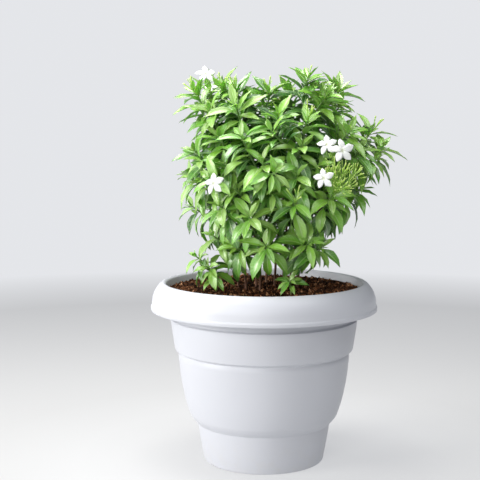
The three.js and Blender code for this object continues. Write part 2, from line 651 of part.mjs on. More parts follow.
const growths = flowers.map(flowerStalk);
sprays.forEach((spray) => {
  const shoot = shootOf(spray.stem, spray.shoot);
  growths.push(sprayStalk(shoot, spray));
  for (let k = 0; k < spray.count; k++) {
    const { centres, radii } = budOf(shoot, spray, k);
    const freeStart = centres[0].clone().lerp(centres[1], 0.3);
    const shapes = segmentsOf([freeStart, ...centres.slice(1)]);
    if (!isClear(shapes, shapes, shoot)) continue;
    growths.push({ shoot, solid: taperedTube(centres, radii, 3) });
    place(shapes, bulk.stalk, shoot);
  }
});

// Leaves are placed pair by pair over the whole plant, so that every shoot gets its large leaves first.
const placingOrder = [1, 0, 2, 3];
const leaves = [];
function growLeaf(shoot, pairIndex, side) {
  for (let attempt = 0; attempt < tries.length; attempt++) {
    const blade = bladeRows(leafPose(shoot, pairIndex, side, attempt));
    const free = pastRoot(blade);
    if (!isClear(bladeTriangles(blade), free, shoot)) continue;
    place(free, 0, shoot);
    leaves.push({ shoot, pairIndex, side, blade });
    return;
  }
}
for (const pairIndex of placingOrder)
  for (const shoot of allShoots.filter(({ reach }) => pairs[pairIndex].back < reach * pairReach))
    for (const side of [0, 1]) growLeaf(shoot, pairIndex, side);

// Each stem with all that grows on it becomes one solid.
function stemSolid(stem) {
  const shoots = allShoots.filter((shoot) => shoot.stem === stem.name).map(shootSolid);
  const grown = growths.filter(({ shoot }) => shoot.stem === stem.name).map(({ solid }) => solid);
  return [...shoots, ...grown].reduce((whole, piece) => whole.add(piece));
}

const plant = new THREE.Group();
plant.add(meshOf(potSolid, "pot", colours.pot, 0.35));
plant.add(meshOf(soilSolid(), "soil", colours.soil, 0.95));
stems.forEach((stem) => plant.add(meshOf(stemSolid(stem), stem.name, colours.leaf, 0.45)));
flowerSolids.forEach((solid, i) => plant.add(meshOf(solid, flowers[i].name, colours.petal, 0.5)));

export default plant;
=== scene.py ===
import math
import bpy
import numpy as np
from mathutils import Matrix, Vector
from mathutils.bvhtree import BVHTree
from mathutils.kdtree import KDTree


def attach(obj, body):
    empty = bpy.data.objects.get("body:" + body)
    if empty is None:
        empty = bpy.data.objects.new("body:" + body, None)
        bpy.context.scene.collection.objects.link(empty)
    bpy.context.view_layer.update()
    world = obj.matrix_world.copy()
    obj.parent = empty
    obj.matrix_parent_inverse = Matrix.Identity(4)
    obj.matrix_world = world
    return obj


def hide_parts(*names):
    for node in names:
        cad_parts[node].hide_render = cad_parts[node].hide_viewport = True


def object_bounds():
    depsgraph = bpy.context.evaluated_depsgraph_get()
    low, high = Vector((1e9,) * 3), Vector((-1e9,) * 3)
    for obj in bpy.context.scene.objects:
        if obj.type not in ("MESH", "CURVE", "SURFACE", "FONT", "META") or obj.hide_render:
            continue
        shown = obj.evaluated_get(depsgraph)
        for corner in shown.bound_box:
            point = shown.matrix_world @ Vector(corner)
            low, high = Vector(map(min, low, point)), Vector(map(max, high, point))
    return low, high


# Potted crape jasmine. Sizes below are in millimetres and turned into metres where a mesh is made.
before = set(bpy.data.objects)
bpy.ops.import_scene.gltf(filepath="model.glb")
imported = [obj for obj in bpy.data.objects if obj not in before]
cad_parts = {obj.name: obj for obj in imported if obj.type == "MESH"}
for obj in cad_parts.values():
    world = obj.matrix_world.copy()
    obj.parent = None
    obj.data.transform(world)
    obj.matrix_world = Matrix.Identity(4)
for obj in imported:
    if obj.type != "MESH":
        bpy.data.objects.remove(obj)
cadLow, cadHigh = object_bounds()
mm = 0.001
print("stage: frame loaded")

# camera
camera = {"place": (-31.8, -1388.5, 438.6), "pitch": 5.969, "lens": 79.06, "sensor": 36, "farthest": 50}
cameraData = bpy.data.cameras.new("camera")
cameraData.lens = camera["lens"]
cameraData.sensor_width = camera["sensor"]
cameraData.clip_end = camera["farthest"]
cameraObject = bpy.data.objects.new("camera", cameraData)
cameraObject.location = Vector(camera["place"]) * mm
cameraObject.rotation_euler = (math.radians(90 - camera["pitch"]), 0, 0)
bpy.context.scene.collection.objects.link(cameraObject)
bpy.context.scene.camera = cameraObject
bpy.context.scene.view_settings.view_transform = "Standard"  # colours as they are, as in the photo

# light: square area lamps, in metres and watts, that all look at the middle of the plant
lampTarget = Vector((0, 0, 0.27))
lamps = {
    "key": {"place": (-2.05, -0.8, 0.75), "size": 1.0, "power": 45, "colour": (1.0, 0.99, 0.965)},
    "front": {"place": (-0.7, -2.0, 0.9), "size": 1.0, "power": 18, "colour": (1.0, 0.995, 0.98)},
    "fill": {"place": (0.9, -0.7, 2.2), "size": 1.4, "power": 21, "colour": (0.96, 0.98, 1.0)},
    "above": {"place": (-0.25, 0.05, 1.2), "size": 0.6, "power": 13, "colour": (1.0, 1.0, 0.985)},
    "back": {"place": (-1.8, 1.15, 1.1), "size": 1.5, "power": 22, "colour": (0.98, 0.99, 1.0)},
}


def addLamp(name, place, size, power, colour):  # turned so that the lamp's own -Z axis meets the target
    data = bpy.data.lights.new(name, "AREA")
    data.size = size
    data.energy = power
    data.color = colour
    lamp = bpy.data.objects.new(name, data)
    lamp.location = place
    lamp.rotation_euler = (lampTarget - Vector(place)).to_track_quat("-Z", "Y").to_euler()
    bpy.context.scene.collection.objects.link(lamp)


for lampName, lampValues in lamps.items():
    addLamp(lampName, **lampValues)

sky = {"colour": (0.95, 0.965, 1.0), "light": 0.09, "seen": 0.82}
world = bpy.data.worlds.new("studio")
world.use_nodes = True
skyTree = world.node_tree
skyLight = skyTree.nodes["Background"]
skyLight.inputs["Color"].default_value = (*sky["colour"], 1)
skyRay = skyTree.nodes.new("ShaderNodeLightPath")
skySpan = skyTree.nodes.new("ShaderNodeMapRange")  # brighter as a backdrop than as a light
skySpan.inputs["To Min"].default_value = sky["light"]
skySpan.inputs["To Max"].default_value = sky["seen"]
skyTree.links.new(skyRay.outputs["Is Camera Ray"], skySpan.inputs["Value"])
skyTree.links.new(skySpan.outputs["Result"], skyLight.inputs["Strength"])
bpy.context.scene.world = world


class Shader:
    # a material with short ways to add a node, set its sockets and get its output
    def __init__(self, name):
        self.material = bpy.data.materials.new(name)
        self.material.use_nodes = True
        self.tree = self.material.node_tree
        self.principled = self.tree.nodes["Principled BSDF"]
        self.place = self.node("TexCoord").outputs["Object"]  # metres from the origin

    def node(self, kind, values=None, **settings):  # values go to its sockets, settings to the node itself
        made = self.tree.nodes.new("ShaderNode" + kind)
        for key, value in settings.items():
            setattr(made, key, value)
        for key, value in (values or {}).items():
            self.feed(made.inputs[key], value)
        return made

    def feed(self, socket, value):  # links an output, or sets a constant
        if isinstance(value, bpy.types.NodeSocket):
            self.tree.links.new(value, socket)
        else:
            socket.default_value = value

    def set(self, **values):  # Principled sockets by name, spaces as underscores
        for key, value in values.items():
            self.feed(self.principled.inputs[key.replace("_", " ")], value)

    def attribute(self, name):  # the number that each point of the mesh holds under this name
        return self.node("Attribute", attribute_name=name).outputs["Fac"]

    def maths(self, operation, first, second=0.0, clamp=False):  # the clamp holds the result between 0 and 1
        return self.node("Math", {0: first, 1: second}, operation=operation, use_clamp=clamp).outputs[0]

    def plus(self, first, second, clamp=False):
        return self.maths("ADD", first, second, clamp)

    def minus(self, first, second):
        return self.maths("SUBTRACT", first, second)

    def times(self, first, second):
        return self.maths("MULTIPLY", first, second)

    def reach(self, middle, size):  # distance from a middle, counted in the half sizes of an ellipsoid
        offset = self.node("VectorMath", {0: self.place, 1: middle}, operation="SUBTRACT").outputs[0]
        scaled = self.node("VectorMath", {0: offset, 1: size}, operation="DIVIDE").outputs[0]
        return self.node("VectorMath", {0: scaled}, operation="LENGTH").outputs["Value"]

    def noise(self, scale, detail, rough):  # clouds from 0 to 1, finer with a larger scale
        values = {"Vector": self.place, "Scale": scale, "Detail": detail, "Roughness": rough}
        return self.node("TexNoise", values).outputs["Fac"]

    def mix(self, share, first, second):  # colours given as three numbers or as outputs
        made = self.node("Mix", data_type="RGBA")
        self.feed(made.inputs["Factor"], share)
        for socket, value in ((made.inputs[6], first), (made.inputs[7], second)):
            self.feed(socket, value if isinstance(value, bpy.types.NodeSocket) else (*value, 1))
        return made.outputs[2]

    def ramp(self, share, stops):  # stops are pairs of position and colour
        made = self.node("ValToRGB", {"Fac": share})
        elements = made.color_ramp.elements
        while len(elements) < len(stops):
            elements.new(0.5)
        for element, (position, colour) in zip(elements, stops):
            element.position = position
            element.color = (*colour, 1)
        return made.outputs["Color"]

    def span(self, value, low, high, newLow=0.0, newHigh=1.0):  # a straight change of range, held at its ends
        values = {"Value": value, 1: low, 2: high, 3: newLow, 4: newHigh}
        return self.node("MapRange", values).outputs["Result"]

    def bump(self, height, strength, distance):  # a normal that follows the height
        values = {"Height": height, "Strength": strength, "Distance": distance}
        return self.node("Bump", values).outputs["Normal"]


# meshes
def makePiece(name, node, material, points, faces, values=None, sharp=None):
    # points in millimetres; values holds one number per point under each name
    mesh = bpy.data.meshes.new(name)
    mesh.from_pydata((np.asarray(points) * mm).tolist(), [], faces)
    mesh.shade_smooth()
    for key, numbers in (values or {}).items():
        layer = mesh.attributes.new(key, "FLOAT", "POINT")
        layer.data.foreach_set("value", np.asarray(numbers, dtype=np.float32).ravel())
    if sharp is not None:  # an edge is sharp where both its ends are marked with the same number above 0
        ends = np.empty(len(mesh.edges) * 2, dtype=np.int32)
        mesh.edges.foreach_get("vertices", ends)
        marks = np.asarray(sharp)[ends.reshape(-1, 2)]
        hard = (marks[:, 0] > 0) & (marks[:, 0] == marks[:, 1])
        layer = mesh.attributes.new("sharp_edge", "BOOLEAN", "EDGE")
        layer.data.foreach_set("value", hard)
    mesh.materials.append(material)
    mesh.update()
    piece = bpy.data.objects.new(name, mesh)
    bpy.context.scene.collection.objects.link(piece)
    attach(piece, "root")
    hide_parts(node)
    return piece


def roundAngles(count):  # angles evenly round a full turn, from 0
    return np.arange(count) * 2 * np.pi / count


def turnedRings(line, sides):  # each radius and height of a line goes round the Z axis as a ring
    angle = roundAngles(sides)
    return np.stack([line[:, :1] * np.cos(angle), line[:, :1] * np.sin(angle),
                     np.repeat(line[:, 1:], sides, axis=1)], axis=-1)


def gridFaces(rings, around):
    # quads between neighbouring rings of a closed grid, ring by ring, all facing outward
    ring, corner = np.meshgrid(np.arange(rings - 1), np.arange(around), indexing="ij")
    nextCorner = (corner + 1) % around
    quads = np.stack([ring * around + corner, ring * around + nextCorner,
                      (ring + 1) * around + nextCorner, (ring + 1) * around + corner], axis=-1)
    return quads.reshape(-1, 4)


def closedRings(rings, low, high):
    # rings (rings, sides, 3) joined by quads, with a fan from the first ring to low and from the last to high
    count, sides = rings.shape[:2]
    points = np.concatenate([rings.reshape(-1, 3), [low], [high]])
    corner = np.arange(sides)
    after = (corner + 1) % sides
    last = (count - 1) * sides
    faces = gridFaces(count, sides).tolist()
    faces += np.stack([after, corner, np.full(sides, count * sides)], axis=1).tolist()
    faces += np.stack([corner + last, after + last, np.full(sides, count * sides + 1)], axis=1).tolist()
    return points, faces


def joined(parts):  # several pairs of points and faces as one pair
    points, faces = [], []
    for partPoints, partFaces in parts:
        start = len(points)
        points += partPoints.tolist()
        faces += [[corner + start for corner in face] for face in partFaces]
    return points, faces


# pot: a rounded outline turned round the Z axis
pot = {
    "sides": 144, "cornerSteps": 5, "longestCut": 0.45, "top": 239,
    # radius, height and rounding, from the middle of the underside up the outside and down the inside
    "outline": [
        (0, 0, 0), (28, 0, 0.8), (31, 3, 1.2), (68, 3, 1.2), (71, 0, 0.8), (80, 0, 1.6), (85.2, 28, 0),
        (88.8, 50.6, 1.6), (92.4, 53.9, 4), (98.2, 61, 8), (104.9, 81, 60), (110.8, 110, 80),
        (113.9, 140.2, 5), (112.7, 146.0, 0.6), (113.2, 147.3, 0.6), (118.4, 149.8, 1), (119.3, 154.5, 6),
        (123.2, 181, 30), (124.4, 190.3, 0.9), (121.7, 192.2, 1.3), (122, 203, 12), (132.4, 234, 4),
        (138.8, 231, 6), (144.4, 219, 14), (147, 202.8, 0.8), (150, 202.8, 1.1), (150, 207, 1.2),
        (148.9, 208.7, 0.9), (147.8, 220, 16), (143.9, 229.4, 9), (137.7, 236.7, 7), (133.2, 239, 3),
        (129.7, 237.3, 2.6), (125.6, 222, 10), (119.8, 199, 20), (111.4, 146.5, 10), (107.6, 110, 30),
        (95.2, 64, 12), (85.3, 52.5, 8), (77.4, 6, 2), (0, 6, 0),
    ],
    "drainHoles": 6, "drainRadius": 5.0, "drainCircle": 50.0, "drillFrom": -4, "drillTo": 12,
    "drillSides": 20, "sharpAngle": 40,
    "deepWhite": (0.53, 0.542, 0.588), "paleWhite": (0.563, 0.575, 0.617), "roughness": (0.37, 0.42),
    "dust": (0.55, 0.53, 0.5), "dustShare": 0.35, "dustTop": 0.05,
}


def roundedOutline(outline, steps):
    # each corner becomes a quadratic curve between two points cut back along its sides by the rounding
    corners = np.array([(radius, height) for radius, height, _ in outline], dtype=float)
    line = [corners[:1]]
    share = np.linspace(0, 1, steps)[:, None]
    for i in range(1, len(outline) - 1):
        before, corner, after = corners[i - 1], corners[i], corners[i + 1]
        reachBack, reachOn = np.linalg.norm(before - corner), np.linalg.norm(after - corner)
        cut = min(outline[i][2], reachBack * pot["longestCut"], reachOn * pot["longestCut"])
        if cut <= 0:
            line.append(corner[None])
            continue
        start = corner + (before - corner) / reachBack * cut
        end = corner + (after - corner) / reachOn * cut
        line.append((1 - share) ** 2 * start + 2 * share * (1 - share) * corner + share**2 * end)
    line.append(corners[-1:])
    return np.concatenate(line)


def plasticMaterial():  # white with faint clouds and a fine grain, a little dusty near the ground
    shader = Shader("whitePlastic")
    cloud = shader.noise(9, 4, 0.6)
    scuff = shader.noise(60, 6, 0.7)
    height = shader.node("SeparateXYZ", {0: shader.place}).outputs["Z"]
    dust = shader.times(shader.span(height, pot["dustTop"], 0.0), shader.span(scuff, 0.45, 0.7))
    clean = shader.mix(cloud, pot["deepWhite"], pot["paleWhite"])
    shader.set(Base_Color=shader.mix(shader.times(dust, pot["dustShare"]), clean, pot["dust"]),
               Roughness=shader.span(cloud, 0.3, 0.7, *pot["roughness"]),
               Normal=shader.bump(shader.noise(700, 2, 0.5), 0.05, 0.0003),
               Specular_IOR_Level=0.4, IOR=1.48)
    return shader.material


def makeDrills():  # one round drill for each drain hole, long enough to pass through the floor
    line = np.array([[pot["drainRadius"], pot["drillFrom"]], [pot["drainRadius"], pot["drillTo"]]])
    drills = []
    for i in range(pot["drainHoles"]):
        turn = (i + 0.5) * 2 * np.pi / pot["drainHoles"]
        centre = pot["drainCircle"] * np.array([math.cos(turn), math.sin(turn), 0])
        rings = turnedRings(line, pot["drillSides"]) + centre
        drills.append(closedRings(rings, centre + [0, 0, pot["drillFrom"]], centre + [0, 0, pot["drillTo"]]))
    points, faces = joined(drills)
    mesh = bpy.data.meshes.new("drills")
    mesh.from_pydata((np.array(points) * mm).tolist(), [], faces)
    return bpy.data.objects.new("drills", mesh)


def makePot():  # the outline's rings, closed on the axis at both ends, minus the drills
    line = roundedOutline(pot["outline"], pot["cornerSteps"])
    rings = turnedRings(line[1:-1], pot["sides"])
    points, faces = closedRings(rings, [0, 0, line[0, 1]], [0, 0, line[-1, 1]])
    shell = makePiece("pot_shell", "pot", plasticMaterial(), points, faces)
    drills = makeDrills()
    bpy.context.scene.collection.objects.link(drills)
    holes = shell.modifiers.new("holes", "BOOLEAN")
    holes.operation = "DIFFERENCE"
    holes.solver = "EXACT"
    holes.object = drills
    shell.data = bpy.data.meshes.new_from_object(shell.evaluated_get(bpy.context.evaluated_depsgraph_get()))
    shell.modifiers.clear()
    bpy.data.objects.remove(drills)
    shell.data.set_sharp_from_angle(angle=math.radians(pot["sharpAngle"]))


makePot()
print("stage: pot made")

# soil: a lumpy bed that fills the pot, and loose crumbs on it
soil = {
    "top": 229.0, "edge": 127.2, "sides": 150, "rings": 62, "ringPower": 0.8, "edgeFade": 4, "edgeDrop": 0.5,
    "side": [(77.0, 6.4), (84.9, 52.5), (94.8, 64), (107.2, 110), (111, 146.5), (119.4, 199), (125.2, 222)],
    # heights of the crown, the slow lumps and the fine bumps, and how the bumps turn and quicken step by step
    "crown": 1.6, "crownWidth": 60, "lump": 1.1, "bump": 0.62, "bumps": 7, "bumpTurn": 2.399,
    "bumpWave": (0.55, 0.33), "bumpFall": (1.6, 0.5), "bumpShift": 1.3,
    "crumbs": 4200, "crumbSize": (0.9, 3.0), "crumbPower": 2.5, "crumbShape": (1.2, 0.85, 0.6),
    "crumbEdge": 3, "crumbTone": (0.12, 0.28), "seed": 11,
    "tones": [(0.3, (0.006, 0.0022, 0.001)), (0.5, (0.036, 0.0125, 0.0045)), (0.68, (0.23, 0.092, 0.038)),
              (0.92, (0.6, 0.34, 0.19))],
}


def soilRise(x, y):
    # a low crown plus two slow waves, the same as the solid, and finer bumps from a sum of turned sines
    slow = soil["crown"] * np.cos(np.hypot(x, y) / soil["crownWidth"])
    slow += soil["lump"] * (np.sin(x * 0.31 + 1.7) * np.sin(y * 0.27 + 0.4) + np.sin(x * 0.13 - y * 0.17))
    fine = np.zeros_like(slow)
    for k in range(soil["bumps"]):
        turn = k * soil["bumpTurn"]
        wave = soil["bumpWave"][0] + soil["bumpWave"][1] * k
        along = x * math.cos(turn) + y * math.sin(turn)
        fine += np.sin(along * wave + soil["bumpShift"] * k) / (soil["bumpFall"][0] + soil["bumpFall"][1] * k)
    return slow + soil["bump"] * fine


def soilMaterial():  # dark coir: fine grain and wide patches, with each crumb's own tone, pick a brown
    shader = Shader("coirSoil")
    grain = shader.noise(420, 8, 0.72)
    patch = shader.noise(38, 4, 0.6)
    tone = shader.plus(shader.times(grain, 0.6), shader.times(patch, 0.4))
    tone = shader.plus(tone, shader.times(shader.attribute("tone"), 0.5))
    shader.set(Base_Color=shader.ramp(tone, soil["tones"]),
               Roughness=shader.span(patch, 0.3, 0.7, 0.72, 0.95),
               Normal=shader.bump(grain, 0.9, 0.0012), Specular_IOR_Level=0.12)
    return shader.material


def makeSoil(material):
    # rings up the side, then rings that close in on the middle, lifted by the rise, which fades at the edge
    angle = roundAngles(soil["sides"])
    radius = soil["edge"] * np.linspace(1, 0, soil["rings"], endpoint=False) ** soil["ringPower"]
    x, y = radius[:, None] * np.cos(angle), radius[:, None] * np.sin(angle)
    fade = np.clip((soil["edge"] - radius[:, None]) / soil["edgeFade"], 0, 1)
    top = np.stack([x, y, soil["top"] + soilRise(x, y) * fade - (1 - fade) * soil["edgeDrop"]], axis=-1)
    rings = np.concatenate([turnedRings(np.array(soil["side"]), soil["sides"]), top])
    middle = soil["top"] + float(soilRise(np.zeros(1), np.zeros(1))[0])
    points, faces = closedRings(rings, [0, 0, soil["side"][0][1]], [0, 0, middle])
    makePiece("soil_bed", "soil", material, points, faces, {"tone": np.zeros(len(points))})


def turnMatrices(angles):
    # rotation about X, then Y, then Z for each row of three angles
    cx, cy, cz = np.cos(angles).T
    sx, sy, sz = np.sin(angles).T
    return np.stack([
        np.stack([cy * cz, sx * sy * cz - cx * sz, cx * sy * cz + sx * sz], axis=-1),
        np.stack([cy * sz, sx * sy * sz + cx * cz, cx * sy * sz - sx * cz], axis=-1),
        np.stack([-sy, sx * cy, cx * cy], axis=-1),
    ], axis=1)


def makeCrumbs(material):
    # each crumb is a squashed octahedron with its corners moved about, turned at random and laid on the bed
    rng = np.random.default_rng(soil["seed"])
    count = soil["crumbs"]
    radius = (soil["edge"] - soil["crumbEdge"]) * np.sqrt(rng.random(count))
    turn = rng.random(count) * 2 * np.pi
    x, y = radius * np.cos(turn), radius * np.sin(turn)
    smallest, largest = soil["crumbSize"]
    size = smallest + (largest - smallest) * rng.random(count) ** soil["crumbPower"]
    unit = np.array([[1, 0, 0], [0, 1, 0], [-1, 0, 0], [0, -1, 0], [0, 0, 1], [0, 0, -1]], dtype=float)
    shape = unit[None] * (0.7 + 0.6 * rng.random((count, 6, 1))) * np.array(soil["crumbShape"])
    turned = np.einsum("nij,nkj->nki", turnMatrices(rng.random((count, 3)) * 6.28), shape)
    centre = np.stack([x, y, soil["top"] + soilRise(x, y) + size * 0.25], axis=-1)
    points = (turned * size[:, None, None] + centre[:, None]).reshape(-1, 3)
    unitFaces = np.array([[0, 1, 4], [1, 2, 4], [2, 3, 4], [3, 0, 4],
                          [1, 0, 5], [2, 1, 5], [3, 2, 5], [0, 3, 5]])
    faces = (unitFaces[None] + (np.arange(count) * 6)[:, None, None]).reshape(-1, 3).tolist()
    tone = np.repeat(rng.normal(*soil["crumbTone"], count), 6)
    piece = makePiece("soil_crumbs", "soil", material, points, faces, {"tone": tone})
    piece.data.shade_flat()


soilLook = soilMaterial()
makeSoil(soilLook)
makeCrumbs(soilLook)
print("stage: soil made")

# growth: the same rule that the solid stems follow, so each fine leaf lies on the blade it stands for
growth = {
    "stemRise": 6.0, "rootDepth": 36.0, "stemRadius": 1.6, "branchRadius": 1.35, "tipRadius": 1.0,
    # the middle that shoots lean away from, how far they lean out and up, and how tips and forks are reached
    "heart": (25, 0, 350), "heartRise": 0.5, "outward": 0.85, "upward": 0.7, "lean": 0.12,
    "leaderRise": 0.42, "leaderEnd": 0.33, "sideHandle": 0.34, "forkDrop": 34, "forkSlope": 0.55,
    "forkLow": 0.12, "forkHigh": 0.72,
    "leafLength": 45.0, "leafWidth": 15.6, "innerLeafSize": 0.82, "canopyMiddle": 400, "canopyHalf": 90,
    "openingLift": 0.16, "droopLift": 0.4, "lightPull": 0.6,
    # what chance adds at most: a share of the heading, degrees for three angles, and shares of two sizes
    "headingSpread": 0.15, "azimuthSpread": 13, "openingSpread": 9, "droopSpread": 14, "lengthSpread": 0.1,
    "widthSpread": 0.12,
    "shootsPerStem": 20, "leafSeeds": 40, "firstSeed": 4,
    "match": 0.06,  # how near a tip must lie to a corner of the solid
}
towardLight = np.array([-0.25, -0.42, 0.87]) / np.linalg.norm([-0.25, -0.42, 0.87])
stems = {
    "stem_front_left": {"root": (-24, -26), "tips": [
        (-49, -80, 395), (-56, -90, 345), (-58, -62, 430), (-34, -72, 292), (-66, -52, 304),
        (-78, -52, 374)]},
    "stem_left": {"root": (-34, -2), "tips": [
        (-91, -10, 487), (-70, -38, 464), (-90, -34, 412), (-96, -22, 380), (-94, -4, 338), (-82, -50, 402)]},
    "stem_front_centre": {"root": (-6, -36), "tips": [
        (-4, -105, 401), (-21, -110, 334), (-1, -106, 298), (-30, -90, 430)]},
    "stem_front_right": {"root": (24, -32), "tips": [
        (43, -92, 420), (35, -108, 351), (54, -92, 299), (52, -74, 450), (37, -102, 384), (70, -78, 292)]},
    "stem_right": {"root": (44, -8), "tips": [
        (121, -52, 414), (82, -95, 359), (153, -20, 416), (140, 2, 435), (124, -20, 362)]},
    "stem_back_right": {"root": (36, 24), "tips": [
        (108, 52, 438), (78, 78, 470), (132, 46, 388), (95, 84, 345), (62, 102, 402)]},
    "stem_back": {"root": (4, 32), "tips": [
        (22, 92, 462), (-8, 108, 412), (20, 112, 350), (-14, 96, 300), (56, 96, 296)]},
    "stem_back_left": {"root": (-24, 22), "tips": [
        (-60, 78, 440), (-90, 42, 402), (-74, 62, 330), (-46, 98, 366), (-80, 38, 466)]},
    "stem_top_right": {"root": (14, -4), "tips": [
        (56, -10, 505), (76, -44, 482), (106, -60, 436), (34, 38, 487), (100, 14, 470), (97, -16, 490)]},
    "stem_top_left": {"root": (-10, 2), "tips": [
        (-56, 0, 492), (-37, -60, 468), (6, -14, 486), (-20, 46, 480), (16, -66, 456), (-38, -12, 492)]},
    "stem_low_left": {"root": (-62, -40), "leafSize": 0.78, "tips": [(-74, -64, 266), (-88, -40, 276)]},
    "stem_low_front": {"root": (33, -64), "leafSize": 0.62, "tips": [(31, -80, 250)]},
}
lowStems = ("stem_low_left", "stem_low_front")
# leaf pairs from the tip down: distance from the tip, opening from the shoot, size, droop and age; the
# pairs after the ninth are young ones at the tip and smaller ones between the others
pairs = [
    (4.5, 52, 0.8, 34, 0.3), (10.5, 70, 0.97, 46, 0.5), (21, 84, 1.0, 56, 0.62), (33, 90, 0.98, 60, 0.72),
    (46, 94, 0.94, 62, 0.8), (61, 96, 0.9, 62, 0.86), (78, 96, 0.86, 62, 0.9), (98, 96, 0.8, 60, 0.94),
    (120, 96, 0.74, 58, 0.97), (1.5, 32, 0.5, 18, 0.1), (0.3, 14, 0.27, 8, 0.0), (7.5, 60, 0.66, 38, 0.35),
    (15.5, 76, 0.8, 50, 0.5), (27, 86, 0.84, 56, 0.65), (40, 90, 0.78, 58, 0.75),
]
solidPairs, tipPair, youngest, between = 4, 9, 10, (11, 12, 13, 14)
# where a blade would touch another, it is turned about the shoot, opened or shut, and shortened
tries = [(0, 0, 1), (15, 0, 1), (-15, 0, 1), (0, -14, 1), (0, 14, 1), (27, -8, 1), (-27, -8, 1),
         (12, -26, 0.94), (-12, 24, 0.94), (36, 10, 0.9), (-36, 10, 0.9), (0, -38, 0.86), (22, -34, 0.8),
         (-22, 30, 0.8)]


def draw(seed, channel):  # a repeatable number from 0 to 1; the channel keeps the uses of one seed apart
    s = math.sin((seed + growth["firstSeed"]) * 12.9898 + channel * 78.233) * 43758.5453
    return s - math.floor(s)


def spread(seed, channel, amount):  # a repeatable number from -amount to amount
    return (draw(seed, channel) * 2 - 1) * amount


def blend(ends, share):  # from the first end to the second
    return ends[0] + (ends[1] - ends[0]) * share


def unitOf(vector):  # the same direction with length 1
    return vector / np.linalg.norm(vector)


def unitRows(vectors):  # the same for each row
    return vectors / np.linalg.norm(vectors, axis=-1, keepdims=True)


def roundAxis(across, other, turn):  # a direction at an angle round an axis, from the two across it
    return across * math.cos(turn) + other * math.sin(turn)


def curveAt(curve, share):  # cubic curve through its four handles
    t = np.asarray(share, dtype=float)[..., None]
    a, b, c, d = curve
    return (1 - t) ** 3 * a + 3 * (1 - t) ** 2 * t * b + 3 * (1 - t) * t**2 * c + t**3 * d


def slopeAt(curve, share):  # the cubic curve's direction
    t = np.asarray(share, dtype=float)[..., None]
    a, b, c, d = curve
    return unitRows((1 - t) ** 2 * (b - a) + 2 * (1 - t) * t * (c - b) + t**2 * (d - c))


def tipDirection(tip, seed):  # outward from the middle of the canopy and up, a little off by chance
    out = tip - np.array(growth["heart"])
    out[2] *= growth["heartRise"]
    chance = growth["headingSpread"]
    push = np.array([spread(seed, 1, chance), spread(seed, 2, chance), growth["upward"]])
    return unitOf(unitOf(out) * growth["outward"] + push)


def leaderCurve(root, tip, heading):  # rises steeply from the root, then ends along the heading
    start = np.array([*root, soil["top"] + growth["stemRise"]], dtype=float)
    reach = np.linalg.norm(tip - start)
    lean = (tip - start) * growth["lean"]
    lean[2] = reach * growth["leaderRise"]
    return np.array([start, start + lean, tip - heading * reach * growth["leaderEnd"], tip])


def sideCurve(leader, tip, heading, fork=None):
    # leaves the leader at the fork, halfway between its direction and the way to the tip; a fork that isn't
    # given is lower, the further out and the lower the tip is
    bottom, top = leader[0], leader[3]
    if fork is None:
        sideways = math.hypot(tip[0] - bottom[0], tip[1] - bottom[1])
        height = tip[2] - growth["forkDrop"] - sideways * growth["forkSlope"] - bottom[2]
        fork = min(max(height / (top[2] - bottom[2]), growth["forkLow"]), growth["forkHigh"])
    start = curveAt(leader, fork)
    reach = np.linalg.norm(tip - start)
    departure = (slopeAt(leader, fork) + (tip - start) / reach) * 0.5
    handle = growth["sideHandle"]
    return np.array([start, start + departure * reach * handle, tip - heading * reach * handle, tip])


def makeShoot(stemName, seed, index, curve, heading, isInner=False):
    # its reach is the mean of the curve's chord and its handles; lift tells how high it is in the canopy
    handles = np.linalg.norm(np.diff(curve, axis=0), axis=1).sum()
    reach = (np.linalg.norm(curve[3] - curve[0]) + handles) / 2
    lift = min(max((curve[3][2] - growth["canopyMiddle"]) / growth["canopyHalf"], -1), 1)
    leafSize = stems[stemName].get("leafSize", 1) * (growth["innerLeafSize"] if isInner else 1)
    return {"stem": stemName, "seed": seed, "index": index, "curve": curve, "tip": curve[3],
            "heading": heading, "lift": lift, "reach": reach, "turn": math.radians(draw(seed, 3) * 360),
            "leafSize": leafSize, "isLeader": index == 0, "isInner": isInner}


def growShoots():  # the first tip of each stem ends its leader, and the others end side shoots
    shoots = []
    for stemIndex, (name, stem) in enumerate(stems.items()):
        for index, place in enumerate(stem["tips"]):
            seed = stemIndex * growth["shootsPerStem"] + index + 1
            tip = np.array(place, dtype=float)
            heading = tipDirection(tip, seed)
            if index == 0:
                leader = curve = leaderCurve(stem["root"], tip, heading)
            else:
                curve = sideCurve(leader, tip, heading)
            shoots.append(makeShoot(name, seed, index, curve, heading))
    return shoots


def shootFrame(curve, share):  # the shoot's direction and two at right angles to it
    axis = slopeAt(curve, share)
    across = unitOf(np.cross(axis, [0, 1, 0]))
    return axis, across, np.cross(axis, across)


def leafSeed(shoot, pairIndex, side):  # one for each leaf of the plant
    return shoot["seed"] * growth["leafSeeds"] + pairIndex * 2 + side


